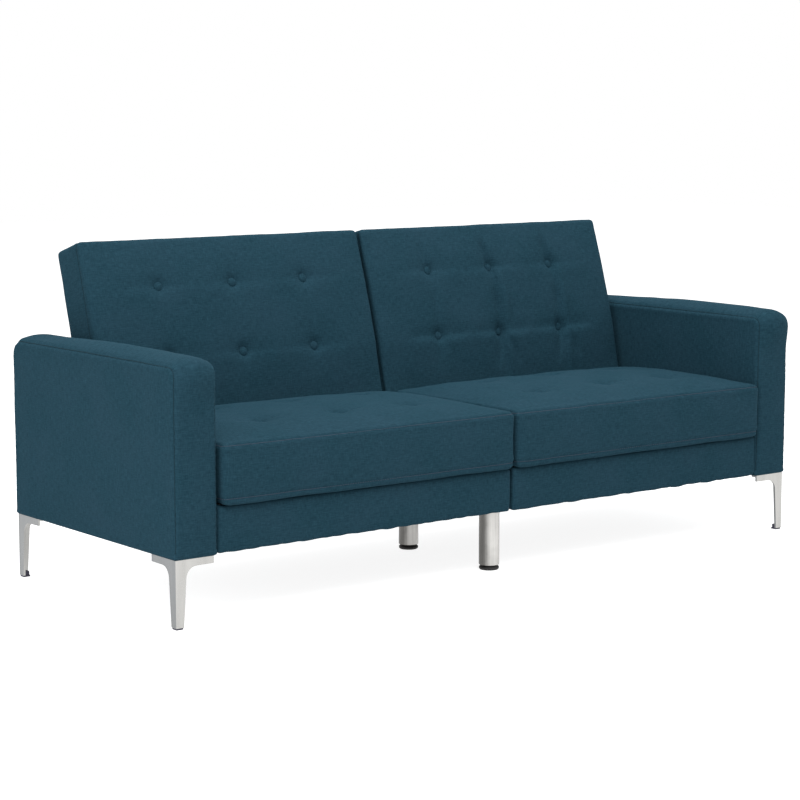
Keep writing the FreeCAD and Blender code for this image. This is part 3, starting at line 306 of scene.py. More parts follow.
@dataclass(frozen=True)
class BrushedMetal:
    """Metal brushed or drawn along one direction."""

    name: str
    dark: Colour
    light: Colour
    rough: float
    stretch: tuple[float, float, float] = (900, 900, 8)
    # How much painted shade darkens the metal where it faces the sofa's ends.
    flank: float = 0.0

    def material(self) -> bpy.types.Material:
        """Fine lines along the metal, with wide soft patches, and any painted shade where it faces the sofa's ends."""
        shader = Shader(self.name, Metallic=1.0)
        lines = shader.noise(shader.coordinates("Object", self.stretch), 1.0, 4)
        patches = shader.noise(shader.coordinates(), 22.0, 3)
        # Painted shade: the tone drops where the metal faces the sofa's ends, by the amount given above.
        tone = (lines * 0.6 + patches * 0.4 - shader.flank() * self.flank).clamped()
        shader.set(Base_Color=shader.blend(tone, self.dark, self.light))
        shader.set(Roughness=lines * 0.16 + patches * 0.08 + self.rough)
        shader.bump(lines, 0.0002, 0.3)
        return shader.material


@dataclass(frozen=True)
class Moulding:
    """Moulded plastic, rubber or sprayed paint with a fine grain."""

    name: str
    dark: Colour
    light: Colour
    rough: float = 0.45
    grain: float = 700.0

    def material(self) -> bpy.types.Material:
        """A low grain with a little scuffing."""
        shader = Shader(self.name)
        grain = shader.noise(shader.coordinates(), self.grain, 3)
        scuff = shader.noise(shader.coordinates(), 40.0, 4)
        shader.set(Base_Color=shader.blend(scuff ** 2.0, self.dark, self.light))
        shader.set(Roughness=scuff * 0.2 + self.rough)
        shader.bump(grain, 0.0003, 0.35)
        return shader.material


@dataclass(frozen=True)
class SawnTimber:
    """Sawn softwood with growth rings and saw marks."""

    name: str = "sawn_pine"

    def material(self) -> bpy.types.Material:
        """Rings stretched along the sofa's width."""
        shader = Shader(self.name, Roughness=0.72)
        grain = shader.noise(shader.coordinates("Object", (2.5, 60, 60)), 1.0, 4)
        fibre = shader.noise(shader.coordinates("Object", (30, 900, 900)), 1.0, 2)
        rings = (grain * 3.0).wave(0.35)
        shader.set(Base_Color=shader.blend(rings * 0.7 + fibre * 0.3, (0.32, 0.19, 0.09, 1), (0.55, 0.38, 0.21, 1)))
        shader.bump(fibre, 0.0004, 0.5)
        return shader.material


@dataclass(frozen=True)
class PressedFelt:
    """Black non-woven dust cloth, embossed with small squares."""

    name: str = "dust_felt"

    def material(self) -> bpy.types.Material:
        """Fibres under a spot-bonded grid."""
        shader = Shader(self.name, Roughness=0.95)
        place = shader.coordinates()
        fibre = shader.noise(place, 500.0, 4)
        x, y, z = shader.split(place)
        spots = x.wave(0.003) * (y + z).wave(0.003)
        shader.set(Base_Color=shader.blend(fibre, (0.006, 0.006, 0.007, 1), (0.028, 0.028, 0.03, 1)))
        shader.bump(fibre * 0.5 + spots * 0.5, 0.0004, 0.6)
        return shader.material


@dataclass(frozen=True)
class ElasticWebbing:
    """Woven elastic strap with ribs along its length."""

    name: str = "elastic_webbing"

    def material(self) -> bpy.types.Material:
        """Ribs across the strap's width and a darker fleck."""
        shader = Shader(self.name, Roughness=0.85)
        place = shader.coordinates()
        x, y, z = shader.split(place)
        ribs = (y + z).wave(0.004) * 0.7 + x.wave(0.0022) * 0.3
        fleck = shader.noise(place, 300.0, 2)
        shader.set(Base_Color=shader.blend(ribs * 0.6 + fleck * 0.4, (0.2, 0.17, 0.12, 1), (0.46, 0.41, 0.32, 1)))
        shader.bump(ribs, 0.0005, 0.6)
        return shader.material


@dataclass(frozen=True)
class Palette:
    """Every finish of the sofa, made once."""

    cloth: bpy.types.Material = field(default_factory=lambda: WovenCloth().material())
    # Painted sheen: the seats' seam edge is lighter than the cloth, as though its fold catches the light.
    seam: bpy.types.Material = field(
        default_factory=lambda: SeamThread("seam_edge", (0.072, 0.105, 0.150, 1)).material()
    )
    # Painted shade: a darker copy of the seam edge, for the arms' and backs' seams, whose grooves lie in shade.
    dark_seam: bpy.types.Material = field(
        default_factory=lambda: SeamThread("shaded_seam_edge", (0.014, 0.042, 0.058, 1)).material()
    )
    legs: bpy.types.Material = field(default_factory=lambda: PolishedCasting().material())
    # The drawn tube gets painted shade where it faces the sofa's ends.
    tube: bpy.types.Material = field(
        default_factory=lambda: BrushedMetal(
            "brushed_nickel", (0.15, 0.147, 0.14, 1), (0.80, 0.785, 0.755, 1), 0.24, flank=0.55
        ).material()
    )
    zinc: bpy.types.Material = field(
        default_factory=lambda: BrushedMetal(
            "zinc_plate", (0.45, 0.45, 0.42, 1), (0.68, 0.68, 0.64, 1), 0.3, (90, 90, 90)
        ).material()
    )
    wire: bpy.types.Material = field(
        default_factory=lambda: BrushedMetal(
            "oiled_wire", (0.1, 0.1, 0.1, 1), (0.24, 0.235, 0.23, 1), 0.34, (200, 200, 200)
        ).material()
    )
    paint: bpy.types.Material = field(
        default_factory=lambda: Moulding("black_paint", (0.008, 0.008, 0.009, 1), (0.035, 0.035, 0.036, 1), 0.32)
        .material()
    )
    glide: bpy.types.Material = field(
        default_factory=lambda: Moulding("blue_black_plastic", (0.012, 0.011, 0.03, 1), (0.05, 0.045, 0.09, 1), 0.35)
        .material()
    )
    rubber: bpy.types.Material = field(
        default_factory=lambda: Moulding("black_rubber", (0.006, 0.006, 0.006, 1), (0.03, 0.03, 0.03, 1), 0.5)
        .material()
    )
    timber: bpy.types.Material = field(default_factory=lambda: SawnTimber().material())
    felt: bpy.types.Material = field(default_factory=lambda: PressedFelt().material())
    webbing: bpy.types.Material = field(default_factory=lambda: ElasticWebbing().material())


# ---------------------------------------------------------------- mesh building


def smoothstep(value: float) -> float:
    """Rises smoothly from 0 to 1 as value goes from 0 to 1."""
    t = min(max(value, 0.0), 1.0)
    return t * t * (3 - 2 * t)


def link(name: str, mesh: bpy.types.Mesh, *materials: bpy.types.Material) -> bpy.types.Object:
    """Puts a mesh into the scene, smooth-shaded."""
    piece = bpy.data.objects.new(name, mesh)
    bpy.context.scene.collection.objects.link(piece)
    for material in materials:
        mesh.materials.append(material)
    mesh.shade_smooth()
    return piece


def finish_mesh(name: str, shape: bmesh.types.BMesh, *materials: bpy.types.Material) -> bpy.types.Object:
    """Turns a bmesh into a linked object with outward normals."""
    bmesh.ops.recalc_face_normals(shape, faces=shape.faces[:])
    mesh = bpy.data.meshes.new(name)
    shape.to_mesh(mesh)
    shape.free()
    return link(name, mesh, *materials)


def grid_block(low: Vector, high: Vector, pitch: float) -> bmesh.types.BMesh:
    """A closed box whose six faces are grids of roughly square cells."""
    shape = bmesh.new()
    bmesh.ops.create_cube(shape, size=1)
    size = high - low
    bmesh.ops.scale(shape, vec=size, verts=shape.verts[:])
    bmesh.ops.translate(shape, vec=(low + high) / 2, verts=shape.verts[:])
    for axis in range(3):
        runs = []
        for edge in shape.edges:
            along = edge.verts[1].co - edge.verts[0].co
            if abs(along[axis]) > 0.9 * along.length:
                runs.append(edge)
        cuts = max(2, round(size[axis] / pitch)) - 1
        bmesh.ops.subdivide_edges(shape, edges=runs, cuts=cuts, use_grid_fill=True)
    return shape


def round_block(shape: bmesh.types.BMesh, low: Vector, high: Vector, radius: Sequence[float]) -> None:
    """Rounds a box's edges by drawing its surface in round an inner box.

    Args:
        shape: the box's grid.
        low: its low corner.
        high: its high corner.
        radius: rounding of the edges nearest each face, in the order -X +X -Y +Y -Z +Z.
    """
    for vert in shape.verts:
        away = Vector((0, 0, 0))
        reach = Vector((1, 1, 1))
        for axis in range(3):
            below, above = low[axis] + radius[2 * axis], high[axis] - radius[2 * axis + 1]
            if vert.co[axis] < below:
                away[axis], reach[axis] = vert.co[axis] - below, radius[2 * axis]
            elif vert.co[axis] > above:
                away[axis], reach[axis] = vert.co[axis] - above, radius[2 * axis + 1]
        part = Vector(away[axis] / reach[axis] for axis in range(3))
        widest = max(abs(number) for number in part)
        if widest > 0 and part.length > 0:
            factor = widest / part.length
            vert.co += Vector(away[axis] * (factor - 1) for axis in range(3))


def box_map(mesh: bpy.types.Mesh, rest: np.ndarray, turned: bool = False, name: str = "weave") -> None:
    """Gives a mesh a map in metres, seen square-on from each face's own side.

    Args:
        mesh: the mesh to map.
        rest: its vertices' places before the cloth was filled, so that the map swells with it.
        turned: whether the cloth on the end faces was cut with its weft upright.
        name: the map's name.
    """
    layer = mesh.uv_layers.new(name=name)
    corners = np.zeros(len(mesh.loops), dtype=np.int32)
    mesh.loops.foreach_get("vertex_index", corners)
    first = np.zeros(len(mesh.polygons), dtype=np.int32)
    count = np.zeros(len(mesh.polygons), dtype=np.int32)
    mesh.polygons.foreach_get("loop_start", first)
    mesh.polygons.foreach_get("loop_total", count)
    origin = rest[corners[first]]
    normal = np.cross(rest[corners[first + 1]] - origin, rest[corners[first + count - 1]] - origin)
    widest = np.repeat(np.abs(normal).argmax(1), count)
    spots = rest[corners]
    u = np.where(widest == 0, spots[:, 2 if turned else 1], spots[:, 0])
    v = np.where(widest == 2, spots[:, 1], spots[:, 2])
    if turned:
        v = np.where(widest == 0, spots[:, 1], v)
    layer.data.foreach_set("uv", np.stack((u, v), 1).ravel())


def places(mesh: bpy.types.Mesh) -> np.ndarray:
    """A mesh's vertices as an array of rows."""
    flat = np.zeros(len(mesh.vertices) * 3)
    mesh.vertices.foreach_get("co", flat)
    return flat.reshape(-1, 3)


def set_places(mesh: bpy.types.Mesh, rows: np.ndarray) -> None:
    """Moves a mesh's vertices."""
    mesh.vertices.foreach_set("co", rows.ravel())
    mesh.update()


def normals_of(mesh: bpy.types.Mesh) -> np.ndarray:
    """A mesh's vertex normals as an array of rows."""
    flat = np.zeros(len(mesh.vertices) * 3)
    mesh.vertex_normals.foreach_get("vector", flat)
    return flat.reshape(-1, 3)


def bake(piece: bpy.types.Object) -> None:
    """Replaces a piece's mesh with what its modifiers make of it."""
    graph = bpy.context.evaluated_depsgraph_get()
    mesh = bpy.data.meshes.new_from_object(piece.evaluated_get(graph), depsgraph=graph)
    piece.modifiers.clear()
    piece.data = mesh
    mesh.shade_smooth()


def subdivide(piece: bpy.types.Object, levels: int = 1) -> None:
    """Smooths a piece by subdividing its surface."""
    modifier = piece.modifiers.new("Smooth", "SUBSURF")
    modifier.levels = levels
    modifier.render_levels = levels
    bake(piece)


def cut_boxes(piece: bpy.types.Object, boxes: Iterable[Box]) -> None:
    """Cuts boxes out of a closed piece, one after another."""
    cutters = []
    for number, (low, high) in enumerate(boxes):
        shape = bmesh.new()
        bmesh.ops.create_cube(shape, size=1)
        bmesh.ops.scale(shape, vec=high - low, verts=shape.verts[:])
        bmesh.ops.translate(shape, vec=(low + high) / 2, verts=shape.verts[:])
        cutter = finish_mesh(f"{piece.name}_cutter_{number}", shape)
        modifier = piece.modifiers.new(cutter.name, "BOOLEAN")
        modifier.operation = "DIFFERENCE"
        modifier.solver = "MANIFOLD"
        modifier.object = cutter
        cutters.append(cutter)
    bake(piece)
    for cutter in cutters:
        bpy.data.objects.remove(cutter)


def tube(
    name: str, runs: Iterable[Sequence[Vector]], radius: float, closed: bool, material: bpy.types.Material
) -> bpy.types.Object:
    """Thin round edges along one or more runs of points."""
    curve = bpy.data.curves.new(name, "CURVE")
    curve.dimensions = "3D"
    curve.bevel_depth = radius
    curve.bevel_resolution = 1
    for points in runs:
        spline = curve.splines.new("POLY")
        spline.points.add(len(points) - 1)
        for item, point in zip(spline.points, points):
            item.co = (*point, 1)
        spline.use_cyclic_u = closed
    holder = bpy.data.objects.new(name, curve)
    mesh = bpy.data.meshes.new_from_object(holder)
    bpy.data.objects.remove(holder)
    return link(name, mesh, material)


def inflate(piece: bpy.types.Object, held: Callable[[Vector], float], pressure: float = 4.0) -> np.ndarray:
    """Fills a closed cloth piece and returns how far each vertex moves.

    Args:
        piece: the piece at its cut size.
        held: how firmly the filling's frame or a button holds a place, from 0 to 1.
        pressure: pressure inside.

    Returns:
        One row of movement for each vertex.
    """
    group = piece.vertex_groups.new(name="held")
    for vert in piece.data.vertices:
        weight = held(vert.co)
        if weight > 0:
            group.add([vert.index], weight, "REPLACE")
    modifier = piece.modifiers.new("Fill", "CLOTH")
    cloth = modifier.settings
    cloth.quality = 4
    cloth.mass = 0.3
    cloth.tension_stiffness = 20
    cloth.compression_stiffness = 20
    cloth.shear_stiffness = 10
    cloth.bending_stiffness = 0.6
    cloth.vertex_group_mass = group.name
    cloth.use_pressure = True
    cloth.uniform_pressure_force = pressure
    cloth.effector_weights.gravity = 0
    modifier.collision_settings.use_collision = False
    modifier.point_cache.frame_end = 20
    scene = bpy.context.scene
    for number in range(1, 21):
        scene.frame_set(number)
    graph = bpy.context.evaluated_depsgraph_get()
    filled = places(piece.evaluated_get(graph).to_mesh())
    moved = filled - places(piece.data)
    piece.modifiers.clear()
    piece.vertex_groups.clear()
    scene.frame_set(1)
    return moved


@dataclass(frozen=True)
class Fold:
    """A pull fold over a cushion's face: it sinks gently from the left or above, and rises to a soft ridge."""

    start: tuple[float, float]
    end: tuple[float, float]
    depth: float
    width: float = 0.011
    bow: float = 0.0

    def sink(self, across: np.ndarray, up: np.ndarray) -> np.ndarray:
        """How far the fold draws the face in, at each place of it."""
        run = np.subtract(self.end, self.start)
        length = float(np.hypot(*run))
        x, y = across - self.start[0], up - self.start[1]
        t = (x * run[0] + y * run[1]) / length ** 2
        facing = math.copysign(1.0, -run[1] - run[0])
        side = facing * (run[0] * y - run[1] * x) / length - self.bow * np.sin(math.pi * np.clip(t, 0, 1))
        fade = np.clip((t + 0.06) / 0.12, 0, 1) * np.clip((1.05 - t) / 0.55, 0, 1)
        reach = np.where(side < 0, 1.9, 0.85) * self.width
        valley = np.exp(-((side / reach) ** 2))
        ridge = 0.4 * np.exp(-(((side - 2.2 * self.width) / (1.5 * self.width)) ** 2))
        return self.depth * fade * fade * (3 - 2 * fade) * (valley - ridge)


def ring(low: Sequence[float], high: Sequence[float], radius: float, pitch: float = 0.007) -> list[tuple[float, float]]:
    """Points round a rectangle with rounded corners.

    Args:
        low: the rectangle's low corner.
        high: its high corner.
        radius: the corners' rounding.
        pitch: distance between points.

    Returns:
        The points, counter-clockwise.
    """
    points = []
    corners = [(high[0], low[1]), (high[0], high[1]), (low[0], high[1]), (low[0], low[1])]
    inward = [(-1, 1), (-1, -1), (1, -1), (1, 1)]
    turns = 6
    for number, (corner, step) in enumerate(zip(corners, inward)):
        centre = (corner[0] + step[0] * radius, corner[1] + step[1] * radius)
        for part in range(turns + 1):
            angle = math.radians(-90 + 90 * (number + part / turns))
            point = (centre[0] + radius * math.cos(angle), centre[1] + radius * math.sin(angle))
            if points and part == 0:
                last = points[-1]
                count = max(1, round(math.dist(last, point) / pitch))
                points += [
                    tuple(a + (b - a) * n / count for a, b in zip(last, point)) for n in range(1, count)
                ]
            points.append(point)
    last, first = points[-1], points[0]
    count = max(1, round(math.dist(last, first) / pitch))
    points += [tuple(a + (b - a) * n / count for a, b in zip(last, first)) for n in range(1, count)]
    return points


def opened(run: Sequence[Vector]) -> list[Vector]:
    """Turns a ring whose foot was left out into one open run."""
    gaps = [(run[number] - run[number - 1]).length for number in range(len(run))]
    start = gaps.index(max(gaps))
    return list(run[start:]) + list(run[:start])


def sew(piece: bpy.types.Object, lines: Iterable[Sequence[Vector]], depth: float, width: float) -> list[list[Vector]]:
    """Draws a piece's surface in along seams, with a little puckering.

    Args:
        piece: the final-resolution piece.
        lines: the seams' rough places, just outside the surface.
        depth: how deep the seam lies.
        width: how wide its groove is.

    Returns:
        The seams' points on the drawn-in surface.
    """
    surface = BVHTree.FromPolygons(
        [vert.co for vert in piece.data.vertices], [face.vertices for face in piece.data.polygons]
    )
    runs = [[surface.find_nearest(point)[0] for point in line] for line in lines]
    tree = KDTree(sum(len(run) for run in runs))
    for number, point in enumerate(point for run in runs for point in run):
        tree.insert(point, number)
    tree.balance()
    rows = places(piece.data)
    normals = normals_of(piece.data)
    for index, row in enumerate(rows):
        distance = tree.find(row)[2]
        if distance < 5 * width:
            pucker = 1 + 0.55 * noise.noise(Vector(row) * 55)
            groove = math.exp(-((distance / width) ** 2))
            swell = 0.35 * math.exp(-(((distance - 2.2 * width) / (1.2 * width)) ** 2))
            rows[index] = row - normals[index] * depth * pucker * (groove - swell)
    set_places(piece.data, rows)
    surface = BVHTree.FromPolygons(
        [vert.co for vert in piece.data.vertices], [face.vertices for face in piece.data.polygons]
    )
    return [[surface.find_nearest(point)[0] for point in run] for run in runs]


@dataclass
class Buttons:
    """A set of cloth-covered buttons that stand on a face."""

    name: str
    centres: list[Vector]
    normal: Vector
    body: str
    radius: float = 0.0125
    height: float = 0.0072

    def build(self, palette: Palette) -> bpy.types.Object:
        """Domed buttons with a turned-in rim.

        Args:
            palette: the sofa's finishes.

        Returns:
            One object that holds them all.
        """
        shape = bmesh.new()
        turn = self.normal.to_track_quat("Z", "Y").to_matrix().to_4x4()
        for centre in self.centres:
            made = bmesh.ops.create_uvsphere(shape, u_segments=28, v_segments=14, radius=1)["verts"]
            for vert in made:
                vert.co.z = math.copysign(abs(vert.co.z) ** 0.8, vert.co.z)
            bmesh.ops.scale(shape, vec=(self.radius, self.radius, self.height), verts=made)
            bmesh.ops.transform(shape, matrix=Matrix.Translation(centre) @ turn, verts=made)
        piece = finish_mesh(self.name, shape, palette.cloth)
        box_map(piece.data, places(piece.data))
        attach(piece, self.body)
        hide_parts(self.name)
        return piece


# ---------------------------------------------------------------- filled cushions


@dataclass
class Cushion:
    """What a seat and a back share: a cut shape that is filled, tufted, folded and sewn."""

    side: Side
    palette: Palette
    pitch: float = 0.007
    pressure: float = 4.0
    button_reach: float = 0.024
    button_hold: float = 0.009
    seam_radius: float = 0.0008

    def fill(self, piece: bpy.types.Object, held: Callable[[Vector], float], cap: float, dome: np.ndarray) -> None:
        """Fills the cut piece: firm foam shapes it first, and the pressure of loose wadding over that.

        Args:
            piece: the cut piece.
            held: how firmly each place is held, from 0 to 1.
            cap: the furthest that the wadding may move any place.
            dome: how far the foam moves each place, one row each.
        """
        rows = places(piece.data)
        moved = inflate(piece, held, self.pressure)
        length = np.maximum(np.linalg.norm(moved, axis=1), 1e-9)
        share = cap * np.tanh(length / cap) / length
        set_places(piece.data, rows + dome + moved * share[:, None])

    def tufts(self, across: np.ndarray, up: np.ndarray, buttons: Sequence[tuple[float, float]]) -> np.ndarray:
        """How strongly the nearest button draws each place of a face in, from 0 to 1."""
        pull = np.zeros(len(across))
        for x, y in buttons:
            pull = np.maximum(pull, np.exp(-(np.hypot(across - x, up - y) / self.button_reach) ** 1.5))
        return pull

    def keep_inside(self, piece: bpy.types.Object, low: Vector, high: Vector) -> None:
        """Presses a piece flat against what stands round it."""
        set_places(piece.data, np.clip(places(piece.data), np.array(low), np.array(high)))

    def ripple(self, piece: bpy.types.Object, size: float, depth: float, seed: float) -> None:
        """Adds the faint unevenness of filling under cloth."""
        rows = places(piece.data)
        shift = Vector((seed, 2 * seed, 3 * seed))
        level = np.array([noise.noise(Vector(row) / size + shift) for row in rows])
        set_places(piece.data, rows + normals_of(piece.data) * (depth * level)[:, None])


@dataclass
class SeatCushion(Cushion):
    """A seat: crowned top with shallow tufts, upright boxing between two seams."""

    crown: float = 0.025
    wadding: float = 0.003
    boxing_crown: float = 0.003
    tuft_depth: float = 0.012
    button_reach: float = 0.021
    column_gap: float = 0.215
    rows_from_front: tuple[float, float] = (0.150, 0.365)
    proud: float = 0.006
    edge: float = 0.009
    corner: float = 0.020
    foot_edge: float = 0.018
    top_seam_drop: float = 0.004
    foot_seam_rise: float = 0.0155

    def build(self) -> None:
        """Makes the seat, its seams and its buttons."""
        name = f"{self.side.prefix}_seat_cushion"
        low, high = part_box(name)
        middle = (low.x + high.x) / 2
        buttons = [
            (middle + column * self.column_gap, low.y + row)
            for column in (-1, 0, 1) for row in self.rows_from_front
        ]
        cut_low = low + Vector((0.001, -self.proud, 0))
        cut_high = high - Vector((0.001, 0, 0))
        shape = grid_block(cut_low, cut_high, self.pitch)
        round_block(shape, cut_low, cut_high, (self.corner, self.corner, self.edge, self.edge, self.foot_edge, self.edge))
        piece = finish_mesh(name + "_cloth", shape, self.palette.cloth)
        rest = places(piece.data)
        box_map(piece.data, rest)
        top = np.clip((rest[:, 2] - (high.z - 0.04)) / 0.03, 0, 1)
        pull = self.tufts(rest[:, 0], rest[:, 1], buttons) * top
        rest[:, 2] -= self.tuft_depth * pull
        set_places(piece.data, rest)
        dome = np.zeros(rest.shape)
        across = (rest[:, 0] - middle) / ((high.x - low.x) / 2)
        along = (rest[:, 1] - (low.y + high.y) / 2) / ((high.y - low.y) / 2)
        up = np.clip((rest[:, 2] - low.z) / (high.z - low.z), 0, 1)
        spread = np.clip(1 - np.abs(across) ** 4.5, 0, 1) * np.clip(1 - np.abs(along) ** 3.0, 0, 1)
        dome[:, 2] = self.crown * spread * top * (1 - 0.35 * pull)
        front = np.clip((low.y + 0.02 - rest[:, 1]) / 0.02, 0, 1)
        dome[:, 1] = -self.boxing_crown * front * np.clip(1 - np.abs(across) ** 4, 0, 1) * np.sin(math.pi * up)
        self.fill(piece, lambda place: self.held(place, low, high, buttons), self.wadding, dome)
        self.keep_inside(piece, low - Vector((-0.0005, 0.014, 0)), high + Vector((-0.0005, 0, 0.028)))
        subdivide(piece)
        self.ripple(piece, 0.11, 0.0018, 3.1 + self.side.value)
        self.ripple(piece, 0.035, 0.0006, 7.7 + self.side.value)
        self.pull_marks(piece, buttons, high.z)
        outline = ring((low.x, low.y - self.proud), high[:2], self.corner)
        levels = (high.z - self.top_seam_drop, low.z + self.foot_seam_rise)
        runs = sew(piece, [[Vector((x, y, z)) for x, y in outline] for z in levels], 0.0022, 0.0042)
        self.keep_inside(piece, low - Vector((-0.0003, 0.015, 0)), high + Vector((-0.0003, 0, 0.030)))
        seams = tube(f"{self.side.prefix}_seat_seams", runs, self.seam_radius, True, self.palette.seam)
        for item in (piece, seams):
            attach(item, "base")
        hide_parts(name)
        surface = BVHTree.FromPolygons(
            [vert.co for vert in piece.data.vertices], [face.vertices for face in piece.data.polygons]
        )
        centres = []
        for x, y in buttons:
            hit = surface.ray_cast(Vector((x, y, high.z + 0.1)), Vector((0, 0, -1)))[0]
            centres.append(hit + Vector((0, 0, 0.0004)))
        Buttons(f"{self.side.prefix}_seat_buttons", centres, Vector((0, 0, 1)), "base", height=0.0022).build(self.palette)
        LOG.info("%s: %d faces, %d buttons", piece.name, len(piece.data.polygons), len(buttons))

    def held(self, place: Vector, low: Vector, high: Vector, buttons: Sequence[tuple[float, float]]) -> float:
        """How firmly the seat's frame, its boxing seams or a button hold a place."""
        if place.z > high.z - 0.05:
            if any(math.hypot(place.x - x, place.y - y) < self.button_hold for x, y in buttons):
                return 1.0
        foot = 1 - smoothstep((place.z - low.z - 0.004) / 0.03)
        rear = 1 - smoothstep((high.y - place.y) / 0.02)
        rim = max(abs(place.x - (low.x + high.x) / 2) - (high.x - low.x) / 2, low.y - place.y, place.y - high.y)
        seam = (1 - smoothstep(-rim / 0.03)) * smoothstep((place.z - high.z + 0.03) / 0.02)
        return max(foot, 0.9 * rear, 0.85 * seam)

    def pull_marks(self, piece: bpy.types.Object, buttons: Sequence[tuple[float, float]], top: float) -> None:
        """Adds the short pulls that run to each side of a tuft."""
        rows = places(piece.data)
        on_top = np.clip((rows[:, 2] - (top - 0.02)) / 0.015, 0, 1)
        sink = np.zeros(len(rows))
        for number, (x, y) in enumerate(buttons):
            for way in (-1, 1):
                tilt = 0.008 * math.sin(1.7 * number + way)
                fold = Fold((x, y), (x + way * 0.07, y + tilt), 0.0032, 0.008)
                sink += fold.sink(rows[:, 0], rows[:, 1])
        rows[:, 2] -= sink * on_top
        set_places(piece.data, rows)


@dataclass
class BackCushion(Cushion):
    """A back: tufted face on a boxed rim, hollowed behind for its frame and its hinges."""

    lean: float = math.radians(16)
    crown: float = 0.006
    wadding: float = 0.0035
    tuft_depth: float = 0.015
    button_reach: float = 0.0155
    belly: float = 0.009
    top_crown: float = 0.004
    column_gap: float = 0.212
    tuft_rows: tuple[float, float] = (0.165, 0.338)
    edge: float = 0.012
    corner: float = 0.010
    boxing_seam: float = 0.001
    seam_start: float = 0.02
    wall: float = 0.006
    frame_front: float = 0.010
    rear_reach: float = 0.085
    foot_flat: float = 0.03
    folds: tuple[Fold, ...] = ()

    def __post_init__(self) -> None:
        """Finds the hinge and the back's own box."""
        body = f"{self.side.prefix}_back"
        hinge = next(joint for joint in frame["joints"] if joint["name"] == body + "_recline")
        pivot = Vector(hinge["pos_m"])
        self.body = body
        self.matrix = Matrix.Translation((0, pivot.y, pivot.z)) @ Matrix.Rotation(-self.lean, 4, "X")
        self.low, self.high = self.own_box(body + "_cushion")

    def own_box(self, node: str) -> Box:
        """The corners of a CAD node in the back's own axes."""
        inverse = self.matrix.inverted()
        rows = np.array([inverse @ vert.co for vert in frame["nodes"][node].data.vertices])
        return Vector(rows.min(0)), Vector(rows.max(0))

    def pockets(self) -> list[Box]:
        """The space for the frame, and the hinge pockets at each end of it."""
        prefix = self.side.prefix
        plates = [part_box(f"{prefix}_{place}_seat_plate") for place in ("outer", "inner")]
        middle = sum(plate[0].x + plate[1].x for plate in plates) / 4
        frame_low, frame_high = self.own_box(self.body + "_frame")
        half = max(frame_high.x - middle, middle - frame_low.x) + 0.0003
        boxes = [
            (Vector((middle - half, self.frame_front, self.low.z + self.wall)),
             Vector((middle + half, self.rear_reach, self.high.z - self.wall))),
        ]
        swing = (half - 0.001, half + 0.010, -0.030, self.low.z - 0.004, 0.0305)
        arm = (half - 0.001, half + 0.0035, -0.026, -0.001, 0.2055)
        rivet = (half - 0.004, half + 0.001, -0.013, self.low.z - 0.004, 0.013)
        for near, far, front, foot, top in (swing, arm, rivet):
            for way in (-1, 1):
                ends = sorted((middle + way * near, middle + way * far))
                boxes.append((Vector((ends[0], front, foot)), Vector((ends[1], self.rear_reach, top))))
        return boxes

    def build(self) -> None:
        """Makes the back, its seam and its buttons."""
        low, high = self.low, self.high
        middle = (low.x + high.x) / 2
        buttons = [
            (middle + column * self.column_gap, row) for row in self.tuft_rows for column in (-1, 0, 1)
        ]
        cut_low = low + Vector((0.001, 0, 0))
        cut_high = high + Vector((-0.001, 0, self.top_crown))
        shape = grid_block(cut_low, cut_high, self.pitch)
        round_block(shape, cut_low, cut_high, (self.corner, self.corner, self.edge, 0.008, self.edge, self.edge))
        piece = finish_mesh(self.body + "_cushion_cloth", shape, self.palette.cloth)
        rest = places(piece.data)
        box_map(piece.data, rest)
        face = np.clip((low.y + 0.04 - rest[:, 1]) / 0.03, 0, 1)
        rest[:, 1] += self.tuft_depth * self.tufts(rest[:, 0], rest[:, 2], buttons) * face
        set_places(piece.data, rest)
        across = (rest[:, 0] - middle) / ((high.x - low.x) / 2)
        up = np.clip((rest[:, 2] - self.foot_flat) / (high.z - self.foot_flat), 0, 1) * 2 - 1
        dome = np.zeros(rest.shape)
        spread = np.clip(1 - np.abs(across) ** 4, 0, 1) * np.clip(1 - np.abs(up) ** 4, 0, 1)
        dome[:, 1] = -(self.crown * spread + self.belly * self.bellied(rest[:, 2])) * face
        self.fill(piece, lambda place: self.held(place, buttons), self.wadding, dome)
        self.keep_inside(piece, low - Vector((-0.001, 0.030, 0)), high + Vector((-0.001, 0, 0.009)))
        subdivide(piece)
        self.ripple(piece, 0.12, 0.0011, 5.3 + self.side.value)
        self.ripple(piece, 0.04, 0.0005, 9.1 + self.side.value)
        self.fold_face(piece)
        outline = ring((low.x, low.z), (high.x, high.z), self.edge)
        level = low.y + self.edge + self.boxing_seam
        line = [Vector((x, level, z)) for x, z in outline if z > low.z + self.seam_start]
        runs = sew(piece, [line], 0.0022, 0.004)
        self.keep_inside(piece, low - Vector((-0.001, 0.032, 0)), high + Vector((-0.001, 0, 0.009)))
        surface = BVHTree.FromPolygons(
            [vert.co for vert in piece.data.vertices], [item.vertices for item in piece.data.polygons]
        )
        centres = []
        for x, z in buttons:
            hit = surface.ray_cast(Vector((x, low.y - 0.1, z)), Vector((0, 1, 0)))[0]
            centres.append(self.matrix @ (hit - Vector((0, 0.0022, 0))))
        cut_boxes(piece, self.pockets())
        piece.data.transform(self.matrix)
        seams = tube(self.body + "_seam", [opened(run) for run in runs], self.seam_radius, False, self.palette.dark_seam)
        seams.data.transform(self.matrix)
        for item in (piece, seams):
            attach(item, self.body)
        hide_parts(self.body + "_cushion")
        normal = self.matrix.to_3x3() @ Vector((0, -1, 0))
        Buttons(self.body + "_buttons", centres, normal, self.body).build(self.palette)
        LOG.info("%s: %d faces, %d buttons", piece.name, len(piece.data.polygons), len(buttons))

    def bellied(self, heights: np.ndarray) -> np.ndarray:
        """How far the filling has settled forward at each height, from 0 at the foot to 1 at the lower buttons."""
        rise = np.clip((heights - 0.045) / 0.13, 0, 1)
        settle = np.clip((heights - 0.30) / 0.15, 0, 1)
        return rise * rise * (3 - 2 * rise) * (1 - 0.75 * settle * settle * (3 - 2 * settle))

